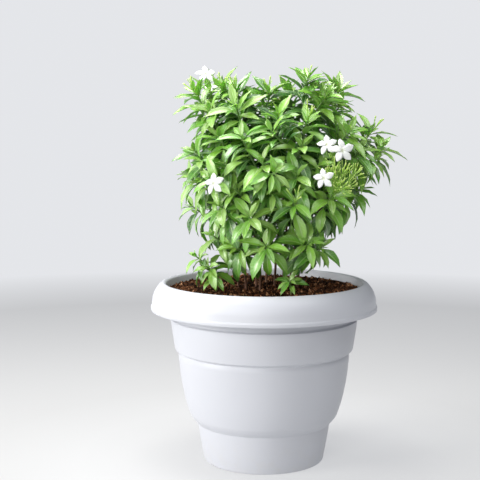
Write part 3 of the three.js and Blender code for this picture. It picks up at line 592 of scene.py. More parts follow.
def leafPose(shoot, pairIndex, side, attempt):
    # each pair stands a quarter turn on from the last, and an eighth where it grows between two others; a
    # blade opens away from the shoot, and its upper side is pulled towards the light
    back, opening, size, droop, age = pairs[pairIndex]
    turn, wider, scale = tries[attempt]
    seed = leafSeed(shoot, pairIndex, side)
    share = 1 - back / shoot["reach"]
    axis, across, other = shootFrame(shoot["curve"], share)
    eighth = 45 if pairIndex in between else 0
    degrees = pairIndex * 90 + eighth + side * 180 + spread(seed, 4, growth["azimuthSpread"]) + turn
    out = roundAxis(across, other, shoot["turn"] + math.radians(degrees))
    opening = opening * (1 - growth["openingLift"] * shoot["lift"]) + spread(seed, 5, growth["openingSpread"])
    angle = math.radians(opening + wider)
    forward = axis * math.cos(angle) + out * math.sin(angle)
    upper = axis * math.sin(angle) - out * math.cos(angle)
    light = towardLight - forward * (forward @ towardLight)
    upper = unitOf(upper * (1 - growth["lightPull"]) + light * growth["lightPull"])
    grown = 1 + spread(seed, 6, growth["lengthSpread"])
    length = growth["leafLength"] * shoot["leafSize"] * size * scale * grown
    broad = 1 + spread(seed, 7, growth["widthSpread"])
    half = growth["leafWidth"] / 2 * (length / growth["leafLength"]) * broad
    droop = droop * (1 - growth["droopLift"] * shoot["lift"]) + spread(seed, 8, growth["droopSpread"])
    return {"shoot": shoot, "age": age, "seed": seed, "root": curveAt(shoot["curve"], share),
            "forward": forward, "upper": upper, "length": length, "half": half, "droop": math.radians(droop)}


def ribPoint(leaf, share):  # the midrib is an arc that bends down by the droop angle over its length
    bend = leaf["droop"] * share
    run = leaf["length"] / leaf["droop"]
    return leaf["root"] + leaf["forward"] * run * math.sin(bend) - leaf["upper"] * run * (1 - math.cos(bend))


def nodeTree(name):  # all corners of a solid, in millimetres, for finding a leaf tip
    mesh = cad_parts[name].data
    flat = np.empty(len(mesh.vertices) * 3, dtype=np.float32)
    mesh.vertices.foreach_get("co", flat)
    corners = np.unique(np.round(flat.reshape(-1, 3) / mm, 3), axis=0)
    tree = KDTree(len(corners))
    for i, corner in enumerate(corners):
        tree.insert(corner, i)
    tree.balance()
    return tree


def isInSolid(stemName, point):  # whether a point is a corner of the solid stem
    return trees[stemName].find(point)[2] < growth["match"]


def solidLeaves():
    # of the tries for each leaf, the one whose tip is a corner of the solid stem is the one that grew
    found = []
    for shoot in shoots:
        for pairIndex in range(solidPairs):
            for side in (0, 1):
                poses = (leafPose(shoot, pairIndex, side, attempt) for attempt in range(len(tries)))
                grown = next((leaf for leaf in poses if isInSolid(shoot["stem"], ribPoint(leaf, 1))), None)
                if grown:
                    found.append(grown)
    return found


shoots = growShoots()
trees = {name: nodeTree(name) for name in stems}
leaves = solidLeaves()
print("stage: leaves of the solid stems found:", len(leaves))


# strands: leaves, petals, twigs and buds are rings of points one after another, closed at the root and a tip
def strandFaces(count, rings, around):
    # one strand's faces, repeated with a stride: quads between rings, a fan to the tip and a cap at the root
    stride = rings * around + 1
    offsets = (np.arange(count) * stride)[:, None, None]
    corner = np.arange(around)
    last = (rings - 1) * around
    fan = np.stack([last + corner, last + (corner + 1) % around, np.full(around, stride - 1)], axis=1)
    faces = (gridFaces(rings, around)[None] + offsets).reshape(-1, 4).tolist()
    faces += (fan[None] + offsets).reshape(-1, 3).tolist()
    faces += (np.arange(around)[::-1][None] + offsets[:, 0]).tolist()
    return faces


def strandPoints(rings, tips):  # rings (strands, rings, around, 3) and tips (strands, 3) as one list
    count = len(rings)
    return np.concatenate([rings.reshape(count, -1, 3), tips[:, None]], axis=1).reshape(-1, 3)


def strandValues(values, tips):  # the same order for one number per point
    count = len(values)
    return np.concatenate([values.reshape(count, -1), np.broadcast_to(tips, count)[:, None]], axis=1).ravel()


def tubeRings(centres, radii, sides):
    # round rings at right angles to each path of centres (tubes, rings, 3), with a radius for each ring
    axis = unitRows(np.gradient(centres, axis=1))
    whole = np.abs(centres[:, -1] - centres[:, 0])
    plain = np.eye(3)[np.argmin(whole, axis=1)]
    across = unitRows(np.cross(axis, plain[:, None]))
    other = np.cross(axis, across)
    angle = roundAngles(sides)
    circle = across[:, :, None] * np.cos(angle)[:, None] + other[:, :, None] * np.sin(angle)[:, None]
    return centres[:, :, None] + circle * radii[:, :, None, None]


# leaves: a folded blade on a short stalk, drooping along an arc and drawn out to a point
blade = {
    "stations": (0, 0.06, 0.15, 0.28, 0.43, 0.58, 0.73, 0.87), "columns": (-1, -0.5, 0, 0.5, 1),
    "stalkShare": 0.055, "stalkHalf": 0.62, "stalkThick": 0.5, "stalkFade": 0.08, "thickness": 0.17,
    "rise": 1.05, "fall": 1.42,  # powers of the outline from the root and from the tip
    "fold": 23, "foldSpread": 6, "twist": 16,  # degrees
    "wave": 0.5, "waves": 17, "waveFrom": 1.5,  # edge wave: height, how many, and the half width it starts at
    "ownTint": 0.6, "tintWeight": 1.35, "mottleWeight": 0.3,
    # blades deep inside an ellipsoid round the middle of the bush are painted darker than those that meet the
    # light: painted shade, and partly the darker green of older leaves
    "bushMiddle": (0, 0.01, 0.4), "bushSize": (0.135, 0.125, 0.125), "innerShadeAndAge": 0.5,
    "tones": [(0.0, (0.215, 0.39, 0.06)), (0.2, (0.215, 0.425, 0.048)), (0.42, (0.225, 0.49, 0.042)),
              (0.7, (0.125, 0.375, 0.02)), (1.0, (0.01, 0.085, 0.002))],
    "rib": (0.3, 0.52, 0.15), "worn": (0.1, 0.07, 0.03), "below": (0.18, 0.33, 0.09), "veins": 11.0,
}


def bladeWidth(share):
    # s to the power of rise times (1 - s) to the power of fall, made 1 at its widest, past the stalk
    peak = blade["rise"] / (blade["rise"] + blade["fall"])
    past = np.clip((share - blade["stalkShare"]) / (1 - blade["stalkShare"]), 0, 1)
    widest = peak ** blade["rise"] * (1 - peak) ** blade["fall"]
    return past ** blade["rise"] * (1 - past) ** blade["fall"] / widest


def leafArrays(leafList):
    # the values of many leaves as arrays, with each one's own twist, fold, wave and tint by chance; the tint
    # is partly shared by all leaves of a shoot
    keys = ("root", "forward", "upper", "length", "half", "droop", "seed", "age")
    arrays = {key: np.array([leaf[key] for leaf in leafList]) for key in keys}
    seeds = [int(seed) for seed in arrays["seed"]]
    arrays["side"] = np.cross(arrays["forward"], arrays["upper"])
    arrays["twist"] = np.radians([spread(seed, 12, blade["twist"]) for seed in seeds])
    arrays["fold"] = np.radians([blade["fold"] + spread(seed, 13, blade["foldSpread"]) for seed in seeds])
    arrays["phase"] = np.array([draw(seed, 14) for seed in seeds]) * 6.28
    ownTint = np.array([draw(seed, 15) for seed in seeds])
    shootTint = np.array([draw(seed // growth["leafSeeds"], 27) for seed in seeds])
    arrays["tint"] = ownTint * blade["ownTint"] + shootTint * (1 - blade["ownTint"])
    return arrays


def bladeSurface(leaf, stations, columns, wave=0.0):
    # middle surface (leaves, stations, columns, 3) and its normals: the midrib bends down along an arc, the
    # blade twists a little about it, and the two halves rise from it by the fold angle
    s = np.asarray(stations, dtype=float)[None, :, None]
    droop, length = leaf["droop"][:, None, None], leaf["length"][:, None, None]
    forward, upper, side = (leaf[key][:, None] for key in ("forward", "upper", "side"))
    bend = droop * s
    centre = leaf["root"][:, None] + forward * length * np.sin(bend) / droop
    centre = centre - upper * length * (1 - np.cos(bend)) / droop
    normal = upper * np.cos(bend) + forward * np.sin(bend)
    turn = leaf["twist"][:, None, None] * np.clip(s - 0.1, 0, 1)
    acrossBlade = side * np.cos(turn) + normal * np.sin(turn)
    normal = normal * np.cos(turn) - side * np.sin(turn)
    v = np.asarray(columns, dtype=float)[None, None, :, None]
    half = np.maximum(leaf["half"][:, None, None] * bladeWidth(s), blade["stalkHalf"])[..., None]
    fold = leaf["fold"][:, None, None, None]
    lift = half * np.sin(fold) * (1.25 * np.abs(v) - 0.3 * v**2)
    ripple = np.sin(leaf["phase"][:, None, None, None] + s[..., None] * blade["waves"] + v)
    lift = lift + wave * ripple * v**2 * (half > blade["waveFrom"])
    points = centre[:, :, None] + acrossBlade[:, :, None] * half * v * np.cos(fold)
    return points + normal[:, :, None] * lift, normal


def leafMesh(leafList):
    # rings of eight points: five across the top from edge to edge and three back across the underside, apart
    # by a thickness that falls off along the stalk as a bell curve
    leaf = leafArrays(leafList)
    columns = np.array(blade["columns"])
    points, normal = bladeSurface(leaf, blade["stations"], columns, blade["wave"])
    s = np.array(blade["stations"])
    stalk = np.exp(-((s / blade["stalkFade"]) ** 2))
    thick = normal * (blade["thickness"] + (blade["stalkThick"] - blade["thickness"]) * stalk)[None, :, None]
    top = points.copy()
    top[:, :, 1:-1] += thick[:, :, None]
    rings = np.concatenate([top, points[:, :, -2:0:-1] - thick[:, :, None]], axis=2)
    tips = bladeSurface(leaf, [1.0], [0.0])[0][:, 0, 0]
    count, stations, around = rings.shape[:3]
    grid = np.ones((count, stations, around))
    # for each point of a ring: how far it belongs to the underside, and the number of its sharp edge
    underRow = np.concatenate([[0.5], np.zeros(3), [0.5], np.ones(3)])
    edgeRow = np.array([1, 0, 0, 0, 2, 0, 0, 0])
    values = {
        "across": strandValues(grid * np.concatenate([columns, columns[-2:0:-1]]), 0.0),
        "along": strandValues(grid * s[None, :, None], 1.0), "under": strandValues(grid * underRow, 0.5),
        "age": strandValues(grid * leaf["age"][:, None, None], leaf["age"]),
        "tint": strandValues(grid * leaf["tint"][:, None, None], leaf["tint"]),
    }
    sharp = strandValues(grid * edgeRow, 0)
    return strandPoints(rings, tips), strandFaces(count, stations, around), values, sharp


def leafMaterial():
    # a green from age, tint and mottle, darker as painted shade deep inside the bush, with a pale midrib,
    # fine side veins, brown tips on old blades and a duller underside
    shader = Shader("jasmineLeaf")
    age, tint, across = (shader.attribute(name) for name in ("age", "tint", "across"))
    along, under = shader.attribute("along"), shader.attribute("under")
    mottle = shader.noise(120, 4, 0.6)
    fromMiddle = shader.reach(blade["bushMiddle"], blade["bushSize"])
    # painted shade: the tone goes darker deep inside the bush, partly standing for older leaves there
    tone = shader.plus(age, shader.span(fromMiddle, 0.85, 0.5, 0.0, blade["innerShadeAndAge"]))
    tone = shader.plus(tone, shader.times(shader.minus(tint, 0.5), blade["tintWeight"]))
    tone = shader.plus(tone, shader.times(shader.minus(mottle, 0.5), blade["mottleWeight"]))
    width = shader.maths("ABSOLUTE", across)
    rib = shader.times(shader.span(width, 0.14, 0.03), shader.span(along, 1.0, 0.55, 0.25, 1.0))
    # side veins leave the midrib at a slant and bend forward near the edge
    forwardBend = shader.times(shader.maths("POWER", width, 1.35), 1.5)
    slant = shader.minus(shader.times(along, blade["veins"]), forwardBend)
    wave = shader.maths("SINE", shader.times(slant, 6.2832))
    vein = shader.times(shader.span(wave, 0.72, 1.0), shader.span(width, 1.0, 0.75))
    line = shader.maths("MAXIMUM", rib, shader.times(vein, 0.22))
    top = shader.mix(line, shader.ramp(tone, blade["tones"]), blade["rib"])
    worn = shader.times(shader.span(along, 0.8, 1.0), shader.span(tone, 0.75, 1.0, 0.0, 0.5))
    top = shader.mix(worn, top, blade["worn"])
    swell = shader.times(wave, shader.span(width, 0.1, 0.6, 0.0, 0.35))
    relief = shader.minus(shader.plus(shader.times(mottle, 0.5), swell), line)
    shader.set(Base_Color=shader.mix(under, top, shader.mix(0.5, top, blade["below"])),
               Roughness=shader.plus(shader.span(mottle, 0.3, 0.7, 0.36, 0.46), shader.times(under, 0.2)),
               # deep inside the bush the specular level and coat fall as well, so the shaded blades there
               # show less sheen
               Specular_IOR_Level=shader.span(fromMiddle, 0.5, 0.9, 0.1, 0.9),
               Coat_Weight=shader.span(fromMiddle, 0.55, 0.9, 0.0, 0.6), Coat_Roughness=0.2,
               Subsurface_Weight=0.15, Subsurface_Radius=(0.0016, 0.0034, 0.0005), Subsurface_Scale=1.0,
               Normal=shader.bump(relief, 0.5, 0.0005))
    return shader.material


# room for more leaves: simple thick copies of all that has grown keep blades from passing through each other
room = {
    "stations": (0.16, 0.4, 0.68), "columns": (-1, 0, 1), "thick": 0.5, "tubeSides": 4, "tubeMargin": 0.25,
    "boxMargin": 0.2, "chunk": 40, "aboveSoil": 3.0, "aboveCollar": 4.0, "collarFrom": 2,
}
faceSet = {}


def proxyShapes(leafList):  # closed six-sided strands round the middle surface of each blade
    leaf = leafArrays(leafList)
    points, normal = bladeSurface(leaf, room["stations"], room["columns"])
    lift = (normal * room["thick"])[:, :, None]
    rings = np.concatenate([points + lift, points[:, :, ::-1] - lift], axis=2)
    tips = bladeSurface(leaf, [1.0], [0.0])[0][:, 0, 0]
    return np.concatenate([rings.reshape(len(rings), -1, 3), tips[:, None]], axis=1)


def facesFor(rings, around):  # the faces of one strand, kept for the next of its size
    if (rings, around) not in faceSet:
        faceSet[rings, around] = strandFaces(1, rings, around)
    return faceSet[rings, around]


def crowdTube(centres, radii, tip):  # a tube with few sides, a little thicker than the twig or bud
    rings = tubeRings(centres[None], (radii + room["tubeMargin"])[None], room["tubeSides"])
    return strandPoints(rings, tip[None]), facesFor(len(centres), room["tubeSides"])


class Crowd:
    # everything that has grown so far, in a few large search trees and a few small recent ones
    def __init__(self):
        self.large = []
        self.recent = []

    def add(self, points, faces):  # keeps a box a little larger than the shape with its tree
        tree = BVHTree.FromPolygons(points.tolist(), faces)
        low, high = points.min(axis=0) - room["boxMargin"], points.max(axis=0) + room["boxMargin"]
        self.recent.append({"shape": (points, faces), "tree": tree, "low": low, "high": high})
        if len(self.recent) >= room["chunk"]:
            self.settle()

    def settle(self):  # the recent trees become one large tree
        if self.recent:
            self.large.append(BVHTree.FromPolygons(*joined(one["shape"] for one in self.recent)))
        self.recent = []

    def touches(self, points, faces):  # whether a shape meets a large tree, or a recent one whose box is near
        tree = BVHTree.FromPolygons(points.tolist(), faces)
        if any(tree.overlap(other) for other in self.large):
            return True
        low, high = points.min(axis=0), points.max(axis=0)
        near = (one for one in self.recent if (one["low"] < high).all() and (one["high"] > low).all())
        return any(tree.overlap(one["tree"]) for one in near)

    def takes(self, points, faces):  # adds a shape where it is in the box and touches nothing
        if not insideBox(points) or self.touches(points, faces):
            return False
        self.add(points, faces)
        return True


def insideBox(points):  # inside the solid's own box, above the soil and clear of the collar
    low, high = np.array(cadLow) / mm, np.array(cadHigh) / mm
    if (points < low).any() or (points > high).any():
        return False
    isOverCollar = np.hypot(points[:, 0], points[:, 1]) > soil["edge"] - room["collarFrom"]
    ground = np.where(isOverCollar, pot["top"] + room["aboveCollar"], soil["top"] + room["aboveSoil"])
    return bool((points[:, 2] > ground).all())


crowd = Crowd()
bladeFaces = facesFor(len(room["stations"]), 2 * len(room["columns"]))

# flowers: a narrow tube and five petals that turn like a pinwheel
flower = {
    "radius": 15.5, "petals": 5, "stations": (0, 0.1, 0.24, 0.4, 0.56, 0.72, 0.86, 0.96),
    "columns": (-1, -0.6, -0.2, 0.2, 0.6, 1), "sweep": 12, "sizeSpread": 0.06, "firstSeed": 700,
    "thickness": 0.22, "narrow": 0.17, "broad": 0.31, "broadAt": 0.55,
    # the tube behind the petals, as height and radius, with a small open throat; the last point closes it
    "tube": 13.0, "tubeSides": 12, "tubeRings": ((-13.0, 1.1), (-9.0, 1.15), (-4.5, 1.5), (-1.6, 1.55),
                                               (-0.5, 1.6), (0.05, 1.25), (-0.3, 0.8), (-1.4, 0.45)),
    "throat": 1.6, "calyxGap": 0.3,
    "coolWhite": (0.78, 0.795, 0.785), "warmWhite": (0.85, 0.86, 0.84), "throatGreen": (0.62, 0.70, 0.36),
}
flowers = {
    "flower_right_upper": {"stem": "stem_right", "shoot": 1, "size": 0.88,
                           "at": (73, -112, 421), "facing": (-0.25, -0.9, 0.35)},
    "flower_right_middle": {"stem": "stem_right", "shoot": 1, "size": 1,
                            "at": (91, -120, 414), "facing": (0.15, -0.95, 0.25)},
    "flower_right_lower": {"stem": "stem_right", "shoot": 1, "size": 0.84,
                           "at": (68, -127, 381), "facing": (-0.2, -0.9, 0.1)},
    "flower_left": {"stem": "stem_front_left", "shoot": 1, "size": 0.92,
                    "at": (-64, -104, 374), "facing": (-0.45, -0.85, 0.2)},
    "flower_top_left": {"stem": "stem_left", "shoot": 0, "size": 0.92,
                        "at": (-76, -2, 511), "facing": (0.1, -0.75, 0.6)},
    "flower_top_behind": {"stem": "stem_back_left", "shoot": 4, "size": 0.84,
                          "at": (-74, 28, 494), "facing": (-0.3, -0.5, 0.8)},
    "flower_back_right": {"stem": "stem_back_right", "shoot": 4, "size": 0.95,
                          "at": (82, 120, 408), "facing": (0.4, 0.8, 0.4)},
    "flower_back": {"stem": "stem_back", "shoot": 1, "size": 0.95,
                    "at": (-14, 130, 432), "facing": (-0.2, 0.9, 0.35)},
}


def flowerAxes(facing):  # the way the flower faces and two directions across it
    axis = unitOf(np.array(facing, dtype=float))
    across = unitOf(np.cross(axis, [0.2, 0.1, 1]))
    return axis, across, np.cross(axis, across)


def petalWidth(share):
    # half width over the flower's radius: it grows to the broadest place as a power of the share, then
    # narrows to a blunt point
    grow = np.clip(share / flower["broadAt"], 0, 1) ** 0.9
    past = np.clip(share - flower["broadAt"], 0, 1) / (1 - flower["broadAt"])
    return blend((flower["narrow"], flower["broad"]), grow) * np.clip(1 - past**2.1, 0.0, 1) ** 0.8


def petalParts(seed, whole):
    # u runs out along a petal and v across it; one edge stands higher than the other, the petal bends back a
    # little, its edge waves, and it turns by the sweep from root to tip
    u = np.array(flower["stations"])[None, :, None]
    v = np.array(flower["columns"])[None, None, :]
    petal = np.arange(flower["petals"])[:, None, None]
    chance = [spread(seed + 31 * k, 16, flower["sizeSpread"]) for k in range(flower["petals"])]
    size = 1 + np.array(chance)[:, None, None]
    radius = (1.0 + (whole - 1.0) * u) * size
    turn = petal * 2 * np.pi / flower["petals"] + math.radians(flower["sweep"]) * (u - 0.5) - math.radians(4)
    half = whole * petalWidth(u) * size
    x, y = radius - 0.35 * half * v**2 * u, half * v
    height = 0.9 * v * (half / 6) - 2.2 * u**2.4 + 0.7 * np.sin(u * 3.1)
    height = height + 0.35 * np.sin(u * 9 + petal * 2 + 2 * v) * v**2
    place = np.stack([x * np.cos(turn) - y * np.sin(turn), x * np.sin(turn) + y * np.cos(turn),
                      height - 0.4], axis=-1)
    thick = np.array([0, 0, flower["thickness"]])
    top = place.copy()
    top[:, :, 1:-1] += thick
    rings = np.concatenate([top, place[:, :, -2:0:-1] - thick], axis=2)
    endTurn = turn[:, 0, 0] + math.radians(flower["sweep"])
    endRadius = whole * size[:, 0, 0]
    endHeight = np.full(flower["petals"], -1.9)
    tips = np.stack([endRadius * np.cos(endTurn), endRadius * np.sin(endTurn), endHeight], axis=-1)
    return rings, tips, strandValues(np.ones(rings.shape[:3]) * u, 1.0)


def corolla(seed, values):  # petals and tube, laid out along the flower's own axes
    axis, across, other = flowerAxes(values["facing"])
    centre = np.array(values["at"], dtype=float)
    rings, tips, reach = petalParts(seed, flower["radius"] * values["size"])
    petals = strandPoints(rings, tips) @ np.stack([across, other, axis]) + centre
    level, width = np.array(flower["tubeRings"]).T
    angle = roundAngles(flower["tubeSides"])
    circle = across * np.cos(angle)[:, None] + other * np.sin(angle)[:, None]
    tube = (centre + axis * level[:, None])[:, None] + circle[None] * width[:, None, None]
    tubeEnd = centre - axis * flower["throat"]
    points, faces = joined([(petals, strandFaces(*rings.shape[:3])),
                            (strandPoints(tube[None], tubeEnd[None]), strandFaces(1, *tube.shape[:2]))])
    tubeReach = np.clip((level + flower["tube"]) / flower["tube"], 0, 1) * 0.08 - 0.1
    reach = np.concatenate([reach, np.repeat(tubeReach, flower["tubeSides"]), [-0.3]])
    return np.array(points), faces, reach


def petalMaterial():  # white with a faint grain, greener into the throat
    shader = Shader("whitePetal")
    white = shader.mix(shader.noise(240, 3, 0.5), flower["coolWhite"], flower["warmWhite"])
    throat = shader.span(shader.attribute("reach"), 0.18, 0.0, 0.0, 0.55)
    shader.set(Base_Color=shader.mix(throat, white, flower["throatGreen"]), Roughness=0.52,
               Subsurface_Weight=0.35, Subsurface_Radius=(0.002, 0.002, 0.0016), Subsurface_Scale=1.0,
               Specular_IOR_Level=0.35, Normal=shader.bump(shader.noise(700, 2, 0.5), 0.15, 0.0003))
    return shader.material


petalLook = petalMaterial()
for flowerIndex, (flowerName, flowerValues) in enumerate(flowers.items()):
    flowerPoints, flowerFaces, flowerReach = corolla(flower["firstSeed"] + flowerIndex, flowerValues)
    makePiece(flowerName + "_corolla", flowerName, petalLook, flowerPoints, flowerFaces,
              {"reach": flowerReach})
    crowd.add(flowerPoints, flowerFaces)
print("stage: flowers made")

# buds: sprays on thin stalks, and the stalks that carry the open flowers
sprays = [
    {"stem": "stem_right", "shoot": 1, "count": 12, "cone": 62, "stalk": 36, "more": 150},
    {"stem": "stem_top_left", "shoot": 0, "count": 4, "cone": 36, "stalk": 13, "more": 7},
    {"stem": "stem_top_left", "shoot": 2, "count": 4, "cone": 40, "stalk": 12, "more": 6},
    {"stem": "stem_top_left", "shoot": 5, "count": 4, "cone": 38, "stalk": 12, "more": 8},
    {"stem": "stem_top_right", "shoot": 0, "count": 3, "cone": 24, "stalk": 9, "more": 4},
    {"stem": "stem_right", "shoot": 3, "count": 4, "cone": 34, "stalk": 18, "more": 5},
    {"stem": "stem_front_right", "shoot": 1, "count": 3, "cone": 50, "stalk": 13, "more": 4},
    {"stem": "stem_front_right", "shoot": 3, "count": 3, "cone": 40, "stalk": 14, "more": 6},
    {"stem": "stem_left", "shoot": 0, "count": 3, "cone": 45, "stalk": 12, "more": 5},
    {"stem": "stem_back", "shoot": 0, "count": 3, "cone": 40, "stalk": 16, "more": 4},
]
bud = {
    "golden": 137.508, "rise": 0.35, "length": 9.0, "lengthSpread": 3.0, "stalkSpread": 0.25, "sides": 8,
    # side buds: where they leave a solid bud's stalk, how they open, their stalk, length and thickness
    "sideFrom": (0.3, 0.92), "sideOpening": (24, 62), "sideStalk": (0.2, 0.4), "shortestStalk": 4,
    "sideLength": (3.5, 6.5), "sideThick": 0.58,
    # share of the stalk or of the bud, and radius
    "stalkRings": ((0, 0.55), (0.25, 0.5), (0.5, 0.48), (0.75, 0.5), (0.93, 0.62)),
    "budRings": ((0, 0.8), (0.1, 0.72), (0.26, 0.62), (0.45, 0.74), (0.62, 0.98), (0.78, 1.0), (0.9, 0.66)),
    # the same for the stalk in the middle of a spray, which thins out, and for an open flower's stalk
    "sprayRings": 12, "sprayRadius": 0.95, "sprayThinning": 0.2, "sprayEnd": 0.5, "stalkBloom": 0.05,
    "flowerRings": ((0, 0.9), (0.12, 0.75), (0.25, 0.68), (0.38, 0.62), (0.5, 0.6), (0.62, 0.6), (0.74, 0.62),
                    (0.84, 0.7), (0.88, 1.0), (0.92, 1.25), (0.96, 1.35), (1, 1.2)),
    "tones": [(0.0, (0.2, 0.4, 0.04)), (0.24, (0.3, 0.5, 0.055)), (0.5, (0.4, 0.6, 0.09)),
              (0.75, (0.43, 0.6, 0.13)), (1.0, (0.56, 0.68, 0.24))],
    "fleck": (0.5, 0.6, 0.3),
}


def shootOf(stemName, index):  # a solid stem's shoot by its number
    return next(shoot for shoot in shoots if shoot["stem"] == stemName and shoot["index"] == index)


def budSeed(shoot, k):  # past the seeds of the shoot's leaves
    return shoot["seed"] * growth["leafSeeds"] + 100 + k


def budLine(shoot, spray, k):
    # bud k leans away from the heading on the golden angle, on a stalk that turns up a little
    seed = budSeed(shoot, k)
    heading = shoot["heading"]
    lean = math.radians(spray["cone"]) * math.sqrt((k + 0.5) / spray["count"])
    turn = k * math.radians(bud["golden"]) + draw(shoot["seed"], 9) * 6
    across = unitOf(np.cross(heading, [0, 1, 0]))
    forward = heading * math.cos(lean) + roundAxis(across, np.cross(heading, across), turn) * math.sin(lean)
    stalk = spray["stalk"] * (1 + spread(seed, 10, bud["stalkSpread"]))
    length = bud["length"] + spread(seed, 11, bud["lengthSpread"])
    base = shoot["tip"] + heading * (1 + spray["stalk"] * bud["rise"] * k / spray["count"])
    neck = base + forward * stalk * 0.75 + np.array([0, 0, stalk * 0.2])
    return {"base": base, "neck": neck, "end": neck + unitOf(neck - base) * length, "thick": 1.0}


def sideBud(shoot, spray, k):
    # a smaller bud on a short stalk that leaves the stalk of one of the solid's own buds
    seed = budSeed(shoot, k)
    parent = budLine(shoot, spray, k % spray["count"])
    axis = unitOf(parent["neck"] - parent["base"])
    across = unitOf(np.cross(axis, [0.3, 1, 0.2]))
    out = roundAxis(across, np.cross(axis, across), k * math.radians(bud["golden"]))
    opening = math.radians(blend(bud["sideOpening"], draw(seed, 17)))
    forward = unitOf(axis * math.cos(opening) + out * math.sin(opening) + np.array([0, 0, 0.25]))
    base = blend((parent["base"], parent["neck"]), blend(bud["sideFrom"], draw(seed, 20)))
    stalk = max(spray["stalk"] * blend(bud["sideStalk"], draw(seed, 21)), bud["shortestStalk"])
    neck = base + forward * stalk
    bend = unitOf(forward + np.array([spread(seed, 22, 0.2), spread(seed, 23, 0.2), 0.25]))
    return {"base": base, "neck": neck, "end": neck + bend * blend(bud["sideLength"], draw(seed, 24)),
            "thick": bud["sideThick"]}


def budStrands(lines):
    # each bud's centres go from the base to the neck, then to the point; radii follow the tables above
    base, neck, end = (np.array([line[key] for line in lines])[:, None] for key in ("base", "neck", "end"))
    thick = np.array([line["thick"] for line in lines])[:, None]
    stalkShare, stalkRadius = np.array(bud["stalkRings"]).T
    budShare, budRadius = np.array(bud["budRings"]).T
    sag = np.sin(stalkShare * np.pi)[None, :, None] * np.array([0, 0, -0.7])
    centres = np.concatenate([base + (neck - base) * stalkShare[None, :, None] + sag,
                              neck + (end - neck) * budShare[None, :, None]], axis=1)
    radii = np.concatenate([stalkRadius, budRadius])[None] * thick
    bloom = np.concatenate([stalkShare * 0.1, 0.25 + 0.75 * budShare])
    return centres, radii, np.repeat(bloom[None], len(centres), axis=0), end[:, 0]


def sprayStalk(shoot, spray):  # a straight stalk along the heading that thins out
    share = np.linspace(0, 1, bud["sprayRings"])
    radii = bud["sprayRadius"] - bud["sprayThinning"] * share
    radii[-1] = bud["sprayEnd"]
    path = shoot["tip"] + shoot["heading"] * ((2 + spray["stalk"] * bud["rise"]) * share)[:, None]
    return path, radii, path[-1] + shoot["heading"] * 0.3


def flowerStalk(shoot, values):  # a curve from the shoot's tip to the back of the flower's tube
    axis = flowerAxes(values["facing"])[0]
    end = np.array(values["at"], dtype=float) - axis * (flower["tube"] + flower["calyxGap"])
    begin = shoot["tip"] + shoot["heading"] * 0.5
    reach = np.linalg.norm(end - begin)
    curve = np.array([begin, begin + shoot["heading"] * reach * 0.4, end - axis * reach * 0.35, end])
    share, radii = np.array(bud["flowerRings"]).T
    return curveAt(curve, share), radii, end


def budMaterial():  # greener on the stalk, paler to the point of the bud
    shader = Shader("jasmineBud")
    fleck = shader.noise(500, 3, 0.5)
    colour = shader.ramp(shader.attribute("bloom"), bud["tones"])
    shader.set(Base_Color=shader.mix(shader.times(fleck, 0.15), colour, bud["fleck"]), Roughness=0.42,
               Subsurface_Weight=0.25, Subsurface_Radius=(0.002, 0.002, 0.001), Subsurface_Scale=1.0,
               Normal=shader.bump(fleck, 0.12, 0.0003))
    return shader.material


def makeSprays():  # for each stem, the buds whose point is a corner of the solid, and its bare stalks
    own = {name: {"lines": [], "tubes": []} for name in stems}
    for spray in sprays:
        shoot, stem = shootOf(spray["stem"], spray["shoot"]), own[spray["stem"]]
        lines = (budLine(shoot, spray, k) for k in range(spray["count"]))
        stem["lines"] += [line for line in lines if isInSolid(spray["stem"], line["end"])]
        stem["tubes"].append(sprayStalk(shoot, spray))
    for values in flowers.values():
        own[values["stem"]]["tubes"].append(flowerStalk(shootOf(values["stem"], values["shoot"]), values))
    return own


def budProxy(line):  # a bud without the start of its stalk, which touches its neighbours
    centres, radii, _, tips = budStrands([line])
    return crowdTube(centres[0, 2:], radii[0, 2:], tips[0])


budSets = makeSprays()
for budSet in budSets.values():
    for line in budSet["lines"]:
        crowd.add(*budProxy(line))
    for path, radii, tip in budSet["tubes"]:
        crowd.add(*crowdTube(path[3:-2], radii[3:-2], path[-2]))
print("stage: buds of the solid stems found:", sum(len(budSet["lines"]) for budSet in budSets.values()))

# twigs: round shoots that thin out to the tip and swell where leaves grow, woody below and green above
twig = {
    "rings": 34, "extraRings": 5, "sides": 8, "proxyStep": 4, "thinning": 0.85, "innerRadius": 1.0,
    "innerEnd": 0.75, "swell": 0.3, "swellWidth": 2.2, "overshoot": 2.5, "greenTo": 40, "woodFrom": 120,
    "greens": ((0.075, 0.17, 0.035), (0.14, 0.25, 0.06)),
    "browns": ((0.1, 0.035, 0.02), (0.3, 0.15, 0.095)),
}


